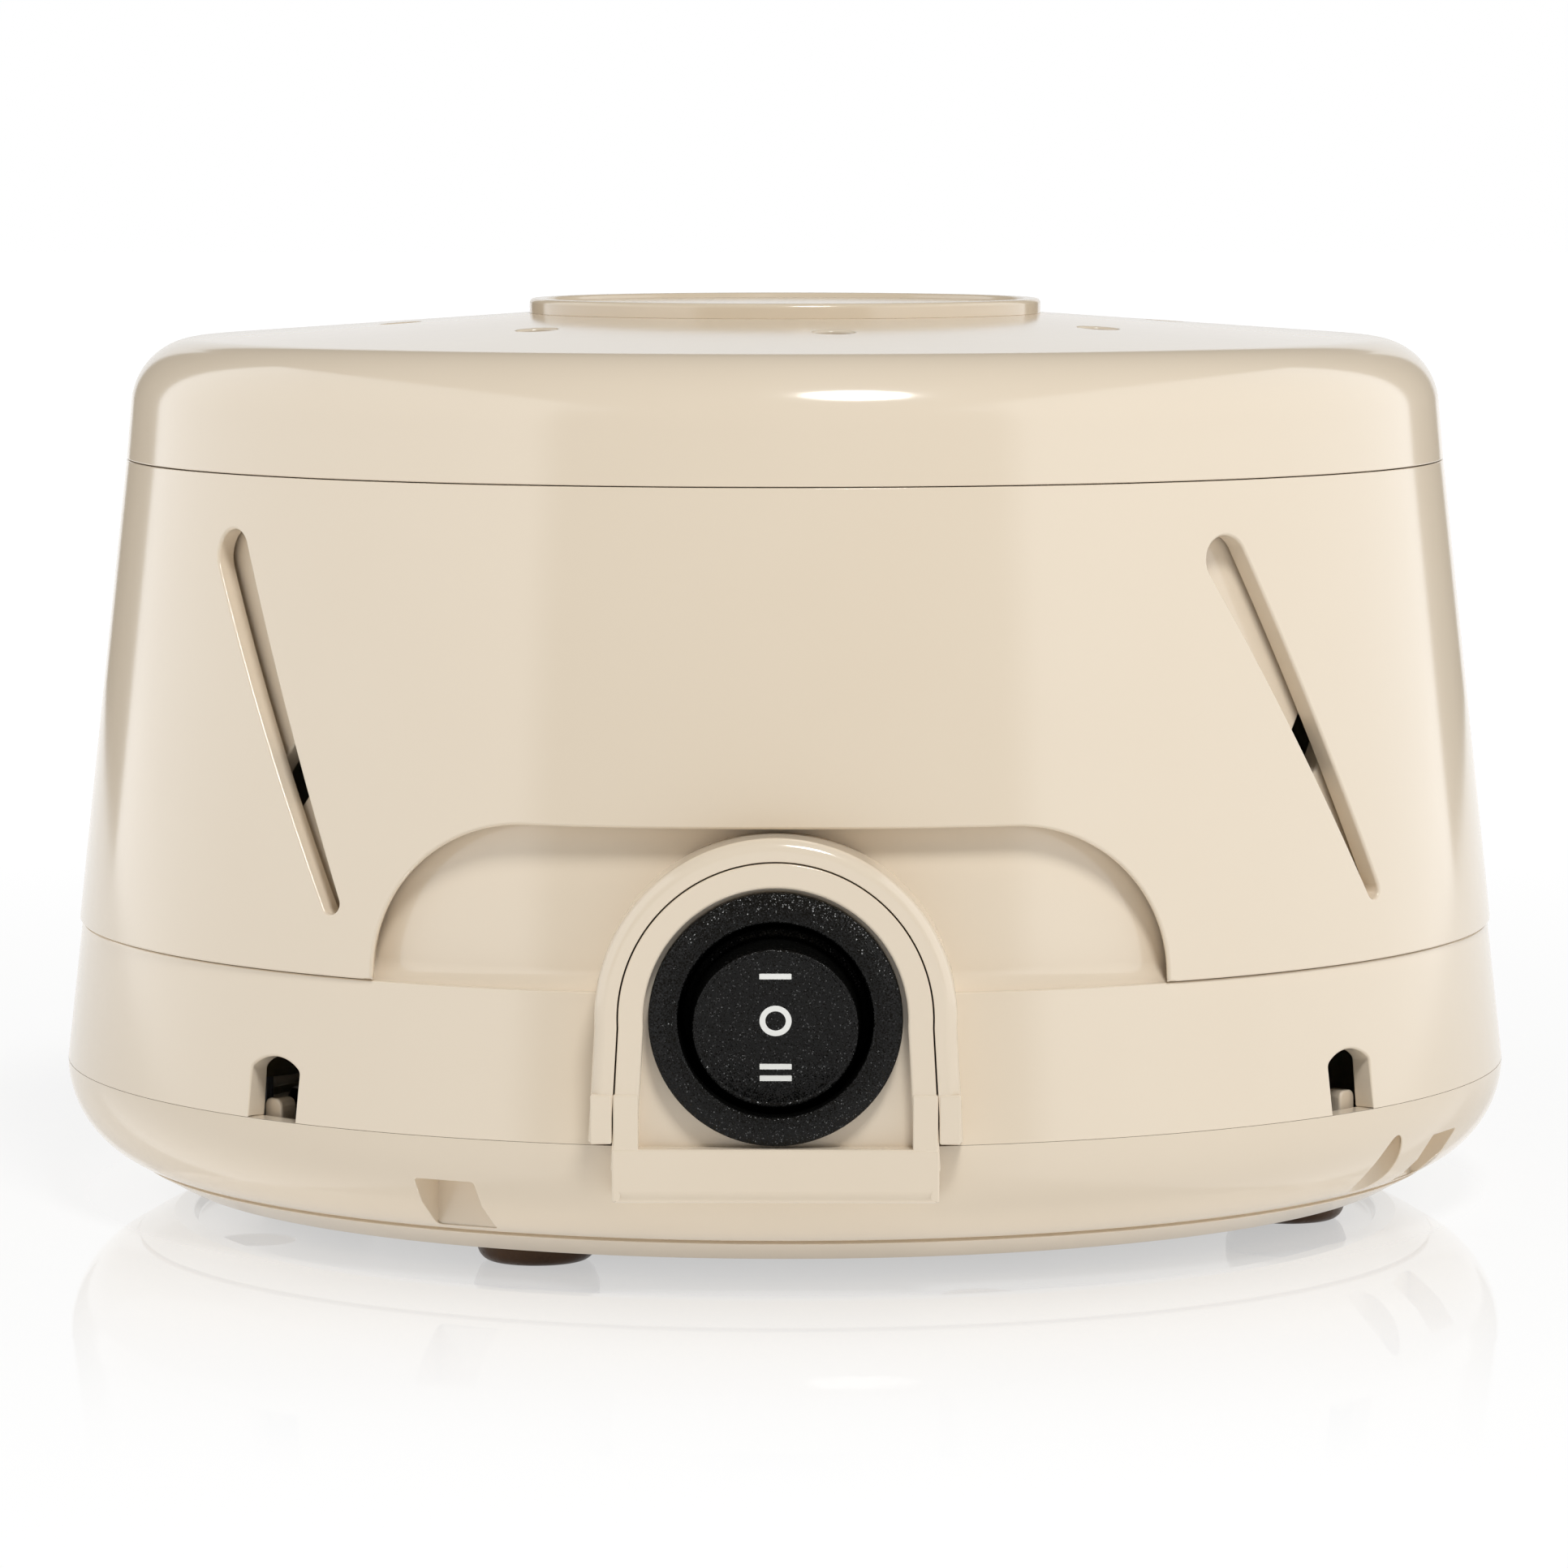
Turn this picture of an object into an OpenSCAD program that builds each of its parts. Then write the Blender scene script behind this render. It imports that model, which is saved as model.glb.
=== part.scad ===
// Fan-driven white noise machine: a round moulded housing on a shallow pan, a turning
// tone collar, a turning cap, a round rocker switch and a shaded-pole fan motor inside.
// Z is up, the origin is on the axis of the housing at the table, the switch faces -Y.
// Angles round the axis are counted from the switch, anticlockwise from above.

/* [Outer shells] */
// Widest diameter, at the seam between pan and housing
body_d = 146; // [138:0.5:160]
// Height of the pan seam above the table
seam_z = 14; // [13:0.5:18]
// Height of the lower band of the housing
band_h = 14; // [13:0.5:18]
// Height of the tone collar
collar_h = 46.1; // [42:0.5:54]
// Height of the straight side of the cap
cap_side_h = 5.6; // [4:0.2:9]
// Radius of the shoulder of the cap
shoulder_r = 7; // [5.6:0.2:9]
// Slope of the top of the cap, in degrees
cap_slope = 4.03; // [2.5:0.1:5]
// Draft of the lower band, in degrees
band_draft = 6.5; // [5:0.1:8]
// Draft of the collar, in degrees
collar_draft = 6.25; // [5:0.1:7.5]
// Wall of the pan and of the lower band
wall = 2.2; // [1.8:0.1:2.6]
// Wall of the collar and of the cap
skin = 2; // [1.6:0.1:2.4]
// Wall of the acoustic housing inside the collar
inner_wall = 2; // [1.6:0.1:2.4]
// Radius of the curved side of the pan
pan_round = 10.36; // [9.5:0.1:11]
// Height of the foot ring above the table
ring_z = 2; // [1.6:0.1:2.4]

/* [Gaps] */
// Height of the gap under a turning shell
turn_gap = 0.3; // [0.25:0.05:0.4]
// Gap between the collar and the acoustic housing
collar_gap = 0.5; // [0.4:0.05:0.8]
// Gap between the cap and the dome of the housing
cap_gap = 0.6; // [0.5:0.05:0.8]
// Radial clearance of a shaft or pin that runs in its bore
run_fit = 0.05; // [0.03:0.01:0.1]
// Clearance between parts that are pushed together
push_fit = 0.1; // [0.05:0.01:0.2]

/* [Top disc] */
// Diameter of the bare disc on the cap
disc_d = 51.8; // [44:0.5:56]
// Height of the disc above the cap
disc_h = 1.5; // [1.2:0.1:2.5]
// Width of the raised rim of the disc
disc_rim = 1.6; // [1:0.1:3]
// Depth of the face of the disc below its rim
disc_recess = 0.5; // [0.3:0.1:0.7]
// Radius of the well under the disc
well_r = 12; // [11:0.5:14]
// Depth of the well below the seat of the disc
well_depth = 3.2; // [3:0.1:4]

/* [Sound holes] */
// Number of round holes in the cap
hole_count = 8; // [4:1:12]
// Diameter of a round hole
hole_d = 4.7; // [3:0.1:6]
// Distance of the ring of round holes inside the widest radius
hole_inset = 34; // [28:0.5:38]
// Angle of the first round hole
hole_angle = 7.5; // [0:0.5:45]

/* [Tone slots] */
// Number of slots in the collar, and of ports behind them
slot_count = 4; // [3:1:4]
// Angle of the middle of the first slot
slot_angle = 46.4; // [45:0.1:48]
// Width of a slot at its wide upper end
slot_top_w = 4.86; // [3:0.1:6]
// Width of a slot at its lower end
slot_low_w = 1.9; // [1.4:0.1:3]
// Height of a slot between the centres of its ends
slot_rise = 32.1; // [28:0.5:36]
// Sideways run of a slot between the centres of its ends
slot_run = 17.6; // [12:0.2:20]
// Height of the lower end of a slot above the ledge
slot_low_z = 6.8; // [5:0.2:9]
// Width of a port in the acoustic housing
port_w = 4.8; // [3:0.1:6]
// Length of a port between the centres of its ends
port_l = 34; // [26:0.5:36]
// Lean of a port from upright, in degrees
port_lean = 37; // [30:1:42]
// Angle by which a port is ahead of its slot
port_offset = 0.7; // [0:0.1:2]

/* [Front opening] */
// Half width of the cut-out of the collar
cutout_half_w = 37.15; // [34:0.25:38]
// Radius of the upper corners of the cut-out
cutout_r = 14.5; // [10:0.5:14.5]
// Angle at which the collar stands
collar_angle = -0.7; // [-2:0.1:2]
// Distance from the axis to the face of the switch arch, beyond the body radius
arch_proud = 2; // [1.5:0.1:3]
// Width of the outer arch round the switch plate
arch_w = 2.1; // [1.6:0.1:2.6]
// Spread of a leg of the arch at the seam
leg_spread = 0.5; // [0:0.1:0.8]
// Gap between the outer arch and the switch plate
arch_gap = 0.25; // [0.2:0.05:0.4]
// Gap between the top of the arch and the cut-out
arch_clear = 0.4; // [0.3:0.05:0.8]

/* [Switch] */
// Diameter of the bezel of the rocker switch
bezel_d = 23.4; // [22:0.1:24]
// Height of the bezel above the floor of its pocket
bezel_h = 2.1; // [1.6:0.1:2.6]
// Diameter of the panel hole
panel_hole_d = 20; // [19.5:0.1:20.6]
// Diameter of the round opening in the bezel
bezel_hole_d = 18; // [17.6:0.1:18.6]
// Diameter of the rocker
rocker_d = 15.3; // [14:0.1:15.6]
// Tilt of the rocker at rest, face downwards, in degrees
rocker_tilt = 12; // [0:0.5:12]
// Room between the bezel and the rim of the switch plate
bezel_room = 0.45; // [0.3:0.05:0.8]
// Width of the raised rim of the switch plate
plate_rim = 2.2; // [1.8:0.1:2.6]
// Depth of the pocket for the bezel
pocket_depth = 2; // [1.6:0.1:2.2]
// Thickness of the plate under the bezel
plate_t = 2.5; // [2:0.1:3]
// Depth of the switch behind the plate
switch_depth = 14; // [12:0.5:18]

/* [Side windows] */
// Angle of the first window
window_angle = 48.8; // [47:0.1:50]
// Width of a window
window_w = 6.4; // [4:0.1:7]
// Height of a window
window_h = 6; // [4.5:0.1:7]

/* [Feet and screws] */
// Distance of the circle of the feet inside the widest radius
foot_inset = 17.9; // [17.3:0.1:20]
// Angle of the first foot
foot_angle = 65.2; // [64:0.1:68]
// Diameter of a foot at its top
foot_d = 12; // [10:0.1:13]
// Diameter of a foot on the table
foot_low_d = 10.4; // [9:0.1:10.8]
// Distance of the circle of the housing screws inside the widest radius
screw_inset = 17; // [16.5:0.5:19]
// Angle of the first housing screw
screw_angle = 20.2; // [19:0.1:21]
// Diameter of the thread of the housing and plate screws
screw_d = 3.4; // [3:0.1:3.6]
// Diameter of the head of these screws
screw_head_d = 7; // [6:0.1:7.2]

/* [Motor] */
// Diameter of the motor shaft
shaft_d = 3.2; // [2.8:0.1:4]
// Height of the laminated stack
stack_h = 14; // [12:0.5:16]
// Height of the underside of the stack above the table
stack_z = 20; // [19.5:0.5:21]
// Diameter of the bore for the rotor
stator_bore_d = 26; // [24:0.5:27]
// Air gap between rotor and bore
air_gap = 0.4; // [0.3:0.05:0.6]
// Width of the laminations
lam_w = 52; // [50:0.5:54]
// Width of an arm of the laminations
lam_arm_w = 9; // [8:0.5:10]
// Depth of the laminations in front of the shaft
lam_front = 17; // [16:0.5:19]
// Width of the bar inside the coil
bar_w = 10; // [9:0.5:11]
// Clear width of the window between bore and bar
window_gap = 11; // [10.5:0.5:13]
// Outer build of the winding round the bar
coil_build = 8; // [6:0.5:9]
// Diameter of a bearing bush
bush_d = 8; // [7:0.5:9]
// Length of a bearing bush
bush_l = 5; // [4:0.5:6]

/* [Fan] */
// Diameter of the fan wheel
fan_d = 92; // [80:1:96]
// Height of the floor of the fan above the stack
fan_lift = 16; // [15:0.5:18]
// Height of the blades
blade_h = 14; // [10:0.5:16]
// Thickness of a blade
blade_t = 1.4; // [1.2:0.1:2]
// Radius of the curve of a blade
blade_curve_r = 40; // [36:1:60]

/* [Cord inlet] */
// Diameter of the bore for a mains cord
inlet_d = 6.2; // [5:0.1:7]
// Diameter of the flange of the bush
inlet_flange_d = 12.6; // [12:0.1:13]
// Height of the inlet above the seam
inlet_rise = 7; // [6.8:0.1:7.2]

/* [Hidden] */
$fn = 96;

// Number of steps in a quarter of a rounded profile
ARC_STEPS = 10;
// Overshoot of a cutting shape past the face it opens
OVER = 1;
// Size of a cutter that reaches past the whole body
FAR = 200;
QUARTERS = [0, 90, 180, 270];

BEIGE = "#e4d6bf";
BEIGE_DARK = "#d9c9af";
RUBBER = "#3a2f28";
BLACK = "#1b1b1c";
STEEL = "#a9acb0";
ZINC = "#c3c6c9";
BRASS = "#c8a24a";
COPPER = "#b5673a";
BRONZE = "#a97a45";
NYLON = "#e9e6da";

// Shell radii and heights
body_r = body_d / 2;
ledge_z = seam_z + band_h;
collar_z = ledge_z + turn_gap;
collar_top_z = collar_z + collar_h;
cap_z = collar_top_z + turn_gap;
collar_step = 0.3;
cap_side_draft = 5;
function band_r(z) = body_r - (z - seam_z) * tan(band_draft);
function collar_r(z) = band_r(ledge_z) + collar_step - (z - ledge_z) * tan(collar_draft);
function housing_r(z) = collar_r(z) - skin - collar_gap;

// Shoulder and cone of the cap, as offsets inwards from its outside
cap_r = collar_r(cap_z);
shoulder_c = [
    cap_r - cap_side_h * tan(cap_side_draft) - shoulder_r * cos(cap_side_draft),
    cap_z + cap_side_h - shoulder_r * sin(cap_side_draft)
];
function cone_z(r, inset) =
    shoulder_c.y + (shoulder_r - inset) / cos(cap_slope) + (shoulder_c.x - r) * tan(cap_slope);
disc_r = disc_d / 2;
hole_ring_r = body_r - hole_inset;
seat_z = cone_z(disc_r, 0);
dome_inset = skin + cap_gap;
dome_in_inset = dome_inset + inner_wall;

// Pivot of the cap on the post of the housing
post_r = 5;
well_floor_z = seat_z - well_depth;
dish_r = well_r + skin + 3.2;
dish_z = well_floor_z - skin - turn_gap;
post_top_z = well_floor_z + turn_gap;
washer_t = 0.8;
washer_r = 8.5;
pivot_head_r = 4;
pivot_head_h = 1.4;
pivot_shank_r = 1.5;
pivot_shank_l = 9;
pilot_r = pivot_shank_r + push_fit;
boss_wall = 3;
boss_depth = 5;
spigot_t = 1.1;
spigot_h = 1.7;

// Switch arch, from the centre of the switch outwards
arch_y = -(body_r + arch_proud);
bezel_r = bezel_d / 2;
switch_z = seam_z + bezel_r + 0.37;
pocket_r = bezel_r + bezel_room;
plate_r = pocket_r + plate_rim;
opening_r = plate_r + arch_gap;
arch_r = opening_r + arch_w;
plate_back_y = arch_y + pocket_depth + plate_t;
apron_low_z = 9;
apron_round = 1.3;
arch_back_r = housing_r(switch_z + arch_r) - inner_wall;
cutout_top_z = switch_z + arch_r + arch_clear;

// Middle of a port below the middle of its slot
port_drop = 4.6;

// Pan
floor_z = ring_z + 1;
floor_top_z = floor_z + wall;
pan_c = [body_r - pan_round, seam_z];
pan_sweep = 66.9;
pan_step = 0.35;
ring_out_r = body_r - 10.6;
ring_in_r = ring_out_r - 2;
post_tab_w = 2.4;
post_tab_h = 2.3;
pocket_back_r = body_r - 5.7;
tab_wall = 1.6;
pocket_low_z = 9.8;
latch_pocket_w = 6.3;
latch_lead = -0.8;
bore_relief_r = 2.45;
bore_relief_ring_r = body_r - 3.15;
bore_relief_angle = 55.5;
bore_relief_z = 11;

// Feet
foot_ring_r = body_r - foot_inset;
foot_h = floor_z;
foot_stem_r = 2.4;
foot_barb_r = 3.1;
foot_barb_h = 1.4;

// Housing screws
screw_ring_r = body_r - screw_inset;
screw_r = screw_d / 2;
screw_head_r = screw_head_d / 2;
screw_head_h = 2;
screw_seat_z = 9;
screw_grip = 14;
screw_boss_r = 5.2;
housing_boss_h = 20;

// Motor levels
stack_top_z = stack_z + stack_h;
shaft_r = shaft_d / 2;
bore_r = stator_bore_d / 2;
plate_sheet = 1.2;
motor_plate_z = stack_z - plate_sheet;
bracket_t = 1.8;
bracket_w = 12;
bracket_rise = 4.7;
motor_screw_x = lam_w / 2 - 6;
motor_screw_r = 1.7;
motor_screw_head_r = 3.1;
motor_screw_tip = 1.4;
nut_r = 3.1;
nut_h = 2.6;
bush_r = bush_d / 2;
hub_wall = 2.5;
hub_lip = 0.6;
end_ring_h = 2.5;
end_ring_r = bore_r - 2;
rotor_r = bore_r - air_gap;
sleeve_r = 3.2;
washer_sheet = 0.6;
upper_bush_z = stack_top_z + 6;
lower_bush_top_z = motor_plate_z - 4.2;
upper_bush_local = upper_bush_z - stack_top_z;
lower_bush_local = motor_plate_z - lower_bush_top_z;
end_play = 0.3;
rotor_sleeve_top_z = upper_bush_z - end_play - washer_sheet;
rotor_sleeve_low_z = lower_bush_top_z + end_play + washer_sheet;
bar_y = bore_r + 2 + window_gap;
lam_inner_x = lam_w / 2 - lam_arm_w;
hole_fit = 0.15;
ring_wire = 1.6;
ring_leg_r = bore_r + 2.3;
ring_leg_angles = [30, 60];

// Motor plate and its rubber mounts
mount_x = 33;
mount_front_y = -18;
mount_rear_y = 33;
mounts = [[mount_x, mount_front_y], [mount_x, mount_rear_y],
    [-mount_x, mount_rear_y], [-mount_x, mount_front_y]];
plate_edge = 7;
plate_hole_r = 19;
plate_land = 4;
grommet_r = 5.6;
grommet_neck_r = 3.8;
grommet_low_h = 4;
grommet_top_h = 2.2;
grommet_bore_r = screw_r + 0.2;
plate_screw_l = 13.4;
mount_boss_r = 4.5;

// Coil
bobbin_t = 1.2;
bobbin_half_l = 15;
bobbin_room = 0.3;
coil_corner_r = 4;
plate_slot_half_w = bobbin_half_l + 2;

// Fan
fan_r = fan_d / 2;
fan_z = stack_top_z + fan_lift;
fan_floor_t = 1.4;
fan_hub_r = 7;
fan_hub_drop = 1.5;
fan_hub_h = blade_h;
fan_hub_top_z = fan_z + fan_hub_h;
fan_blade_angles = [0, 46, 97, 155, 203, 259, 308];
blade_in_r = 13;
clip_r = 4.4;
clip_t = 0.8;
shaft_top_z = fan_hub_top_z + clip_t + 1;
shaft_low_z = lower_bush_top_z - bush_l + 0.3;

// Rocker
rocker_r = rocker_d / 2;
rocker_pivot_y = arch_y + 4.3;
rocker_rise = 4.1;
rocker_skirt = 1.6;
rocker_pin_r = 1;
switch_cavity_y = rocker_pivot_y + 6;
switch_neck_r = panel_hole_d / 2 - push_fit;
terminal_w = 4.8;
terminal_t = 0.8;
terminal_l = 8;
terminal_pitch = 5;
switch_end_y = plate_back_y + switch_depth;

// Route of the lead wires from the switch over the stator to the coil
wire_d = 1.8;
wire_lead_y = 3;
wire_knee_x = 10;
wire_knee_y = -30;
wire_knee_z = 40;
wire_side_x = 30;
wire_lift = 1;

// Cord inlet
inlet_z = seam_z + inlet_rise;
inlet_body_r = 4.6;
inlet_pad_y = body_r + 0.2;
inlet_flange_t = 1.5;
inlet_gland_t = 3.12;
inlet_nut_y = body_r - 8.6;

// Points of an arc about c, from angle a0 to a1
function arc(c, r, a0, a1, n = ARC_STEPS) =
    [for (i = [0:n]) let (a = a0 + (a1 - a0) * i / n) [c.x + r * cos(a), c.y + r * sin(a)]];

function reversed(v) = [for (i = [len(v) - 1:-1:0]) v[i]];

// Outside of the cap, moved inwards by inset, from its shoulder to radius r_end
function shoulder(inset, r_end) = concat(
    arc(shoulder_c, shoulder_r - inset, cap_side_draft, 90 - cap_slope),
    [[r_end, cone_z(r_end, inset)]]
);

module revolve(points) {
    rotate_extrude() polygon(points);
}

module tube(r_out, r_in, h) {
    difference() {
        cylinder(r = r_out, h = h);
        translate([0, 0, -OVER]) cylinder(r = r_in, h = h + 2 * OVER);
    }
}

// Places a child at a radius and an angle from the switch
module at_angle(angle, r) {
    rotate([0, 0, angle]) translate([0, -r, 0]) children();
}

// Turns an outline in x and z to face the switch side, from y_front back to y_back
module facing(y_front, y_back) {
    translate([0, y_back, 0]) rotate([90, 0, 0]) linear_extrude(y_back - y_front) children();
}

// Outline of a slot with two round ends of different size
module teardrop(p0, r0, p1, r1) {
    d = p1 - p0;
    heading = atan2(d.y, d.x);
    side = acos((r0 - r1) / norm(d));
    polygon(concat(
        arc(p0, r0, heading + side, heading + 360 - side),
        arc(p1, r1, heading - side, heading + side)
    ));
}

// Arch outline: a half circle at the switch with legs that spread down to z_low
module arch_outline(r, z_low) {
    spread = leg_spread * (switch_z - z_low) / (switch_z - seam_z);
    translate([0, switch_z]) circle(r = r);
    polygon([[-r, switch_z], [r, switch_z], [r + spread, z_low], [-r - spread, z_low]]);
}

// Solid that fills the outside of the pan, for trimming what is added inside it
module pan_envelope() {
    revolve(concat([[0, floor_z], [pan_c.x, floor_z]],
        arc(pan_c, pan_round, -pan_sweep, 0), [[0, seam_z]]));
}

module latch_pocket_cut() {
    cutter_l = body_r - pocket_back_r + OVER;
    translate([-latch_pocket_w / 2, -cutter_l, -OVER])
        cube([latch_pocket_w, cutter_l, pocket_low_z + OVER]);
}

module latch_pocket_wall() {
    wall_z = floor_z + wall / 2;
    translate([-latch_pocket_w / 2 - wall, -body_r + pocket_back_r, wall_z])
        cube([latch_pocket_w + 2 * wall, wall, pocket_low_z + wall - wall_z]);
    translate([-latch_pocket_w / 2 - wall, -body_r + pocket_back_r, wall_z])
        mirror([0, 1, 0])
            cube([latch_pocket_w + 2 * wall, body_r - pocket_back_r, pocket_low_z + wall - wall_z]);
}

module bore_relief_wall() {
    low_z = floor_z + wall / 2;
    translate([0, 0, low_z]) cylinder(r = bore_relief_r + tab_wall, h = bore_relief_z + tab_wall - low_z);
}

module pan_boss(r, top_z) {
    translate([0, 0, floor_top_z - OVER]) cylinder(r = r, h = top_z - floor_top_z + OVER);
}

// Dish of the pan with its foot ring
module pan_dish() {
    inner_r = pan_round - wall;
    step_p = pan_c + pan_round * [cos(pan_sweep), -sin(pan_sweep)];
    revolve(concat(
        [[0, floor_z], [ring_in_r - 0.4, floor_z], [ring_in_r, ring_z], [ring_out_r, ring_z]],
        [[step_p.x - pan_step, step_p.y - pan_step / 2]],
        arc(pan_c, pan_round, -pan_sweep, 0),
        reversed(arc(pan_c, inner_r, -90, 0)),
        [[pan_c.x - 1.5, floor_top_z], [0, floor_top_z]]
    ));
}

// Upright plate that carries the switch, and the apron below it
module switch_plate() {
    difference() {
        union() {
            facing(arch_y, plate_back_y) difference() {
                arch_outline(plate_r, seam_z - OVER);
                translate([-FAR / 2, -FAR + seam_z - OVER / 2]) square(FAR);
            }
            apron_half_w = plate_r + leg_spread;
            translate([-apron_half_w, arch_y + apron_round, apron_low_z])
                cube([2 * apron_half_w, plate_back_y - arch_y - apron_round, seam_z - apron_low_z]);
            translate([-apron_half_w, arch_y, apron_low_z + apron_round])
                cube([2 * apron_half_w, apron_round, seam_z - apron_low_z - apron_round]);
            translate([-apron_half_w, arch_y + apron_round, apron_low_z + apron_round])
                rotate([0, 90, 0]) cylinder(r = apron_round, h = 2 * apron_half_w);
        }
        facing(arch_y - OVER, arch_y + pocket_depth) difference() {
            arch_outline(pocket_r, seam_z - OVER);
            translate([-FAR / 2, -FAR + seam_z]) square(FAR);
        }
        translate([0, 0, switch_z]) rotate([-90, 0, 0])
            translate([0, 0, arch_y - OVER])
                cylinder(r = panel_hole_d / 2, h = plate_back_y - arch_y + 2 * OVER);
    }
}

module bottom_pan() {
    color(BEIGE) difference() {
        union() {
            pan_dish();
            switch_plate();
            intersection() {
                union() {
                    for (a = QUARTERS)
                        at_angle(foot_angle + latch_lead + a, body_r) latch_pocket_wall();
                    at_angle(bore_relief_angle, bore_relief_ring_r) bore_relief_wall();
                }
                pan_envelope();
            }
            for (p = mounts) translate([p.x, p.y, 0])
                pan_boss(mount_boss_r, motor_plate_z - grommet_low_h);
            for (a = QUARTERS) at_angle(screw_angle + a, screw_ring_r) pan_boss(screw_boss_r, seam_z);
            for (a = QUARTERS) at_angle(window_angle + a, band_r(seam_z) - wall - tab_wall)
                translate([-post_tab_w / 2, -1, seam_z - 4]) cube([post_tab_w, 2, 4 + post_tab_h]);
        }
        for (a = QUARTERS) at_angle(foot_angle + latch_lead + a, body_r)
            translate([0, body_r - pocket_back_r, 0]) latch_pocket_cut();
        at_angle(bore_relief_angle, bore_relief_ring_r)
            translate([0, 0, -OVER]) cylinder(r = bore_relief_r, h = bore_relief_z + OVER);
        for (a = QUARTERS) at_angle(foot_angle + a, foot_ring_r) {
            translate([0, 0, floor_z - OVER]) cylinder(r = foot_stem_r + push_fit, h = wall + 2 * OVER);
            translate([0, 0, floor_z - OVER * 2]) cylinder(r = foot_d / 2 + 2 * push_fit, h = OVER * 2);
        }
        for (a = QUARTERS) at_angle(screw_angle + a, screw_ring_r) {
            cylinder(r = screw_r + hole_fit, h = seam_z + OVER);
            cylinder(r = screw_head_r + 2 * hole_fit, h = screw_seat_z);
        }
        for (p = mounts) translate([p.x, p.y, floor_top_z + 1])
            cylinder(r = screw_r + push_fit, h = motor_plate_z);
    }
}

// Revolved wall, dome and cap post of the housing
module housing_shell() {
    cove_r = 2.2;
    cove_c = [housing_r(ledge_z + cove_r) + cove_r, ledge_z + cove_r];
    flat_z = cone_z(disc_r, dome_inset);
    step_z = ledge_z - wall;
    outside = concat(
        [[band_r(seam_z), seam_z], [band_r(ledge_z), ledge_z]],
        arc(cove_c, cove_r, 270, 180, 5),
        shoulder(dome_inset, disc_r),
        [[dish_r, flat_z], [dish_r, dish_z], [post_r, dish_z], [post_r, post_top_z]],
        [[pilot_r, post_top_z]]
    );
    inside = concat(
        [[pilot_r, dish_z - inner_wall - boss_depth]],
        [[pilot_r + boss_wall, dish_z - inner_wall - boss_depth]],
        [[pilot_r + boss_wall, dish_z - inner_wall], [dish_r + inner_wall, dish_z - inner_wall]],
        [[dish_r + inner_wall, flat_z - inner_wall], [disc_r, cone_z(disc_r, dome_in_inset)]],
        reversed(arc(shoulder_c, shoulder_r - dome_in_inset, cap_side_draft, 90 - cap_slope)),
        [[housing_r(step_z) - inner_wall, step_z], [band_r(step_z) - wall, step_z]],
        [[band_r(seam_z) - wall, seam_z]]
    );
    revolve(concat(outside, inside));
}

// Boss inside the housing for one screw, with its web to the wall
module housing_boss() {
    web_t = 2;
    web_top_r = housing_r(seam_z + housing_boss_h) - inner_wall / 2;
    web_low_r = band_r(ledge_z) - wall / 2;
    translate([0, -screw_ring_r, seam_z]) cylinder(r = screw_boss_r - 0.5, h = housing_boss_h);
    rotate([0, 0, 90]) rotate([90, 0, 0]) translate([0, 0, -web_t / 2]) linear_extrude(web_t)
        polygon([
            [-screw_ring_r, seam_z + 1], [-web_low_r, seam_z + 1], [-web_low_r, ledge_z - wall / 2],
            [-web_top_r, ledge_z], [-web_top_r, seam_z + housing_boss_h],
            [-screw_ring_r, seam_z + housing_boss_h]
        ]);
}

// Opening with a flat-arched top at the lower edge of the band
module window_outline() {
    crown = 1.2;
    crown_r = (window_w * window_w / 4 + crown * crown) / (2 * crown);
    half_a = asin(window_w / 2 / crown_r);
    polygon(concat(
        [[-window_w / 2, seam_z - OVER], [window_w / 2, seam_z - OVER]],
        arc([0, seam_z + window_h - crown_r], crown_r, 90 - half_a, 90 + half_a)
    ));
}

module main_housing() {
    color(BEIGE) difference() {
        union() {
            housing_shell();
            for (a = QUARTERS) rotate([0, 0, screw_angle + a]) housing_boss();
            facing(arch_y, -arch_back_r) difference() {
                arch_outline(arch_r, seam_z - OVER);
                translate([-FAR / 2, -FAR + seam_z]) square(FAR);
            }
            translate([0, body_r - wall - OVER, inlet_z]) rotate([-90, 0, 0])
                cylinder(r = inlet_flange_d / 2 + 0.4, h = inlet_pad_y - body_r + wall + OVER);
        }
        facing(arch_y - OVER, -arch_back_r + 2 * OVER) arch_outline(opening_r, seam_z - 2 * OVER);
        for (i = [0:slot_count - 1])
            rotate([0, 0, slot_angle + port_offset + i * 360 / slot_count])
                facing(-body_r, -body_r / 2) {
                    half = port_l / 2 * [sin(port_lean), cos(port_lean)];
                    mid = [0, ledge_z + slot_low_z + slot_rise / 2 - port_drop];
                    teardrop(mid - half, port_w / 2, mid + half, port_w / 2);
                }
        for (i = [0:hole_count - 1]) at_angle(hole_angle + i * 360 / hole_count, hole_ring_r)
            translate([0, 0, dish_z - 2 * inner_wall]) cylinder(r = hole_d / 2, h = FAR / 10);
        for (a = QUARTERS) rotate([0, 0, window_angle + a])
            facing(-body_r - OVER, -body_r + 2 * wall + OVER) window_outline();
        for (a = QUARTERS) at_angle(screw_angle + a, screw_ring_r)
            translate([0, 0, seam_z - OVER])
                cylinder(r = screw_r + push_fit / 2, h = screw_grip + 2 * OVER);
        translate([0, 0, inlet_z]) rotate([-90, 0, 0])
            cylinder(r = inlet_body_r + push_fit, h = body_r + arch_proud + OVER);
    }
}

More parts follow.
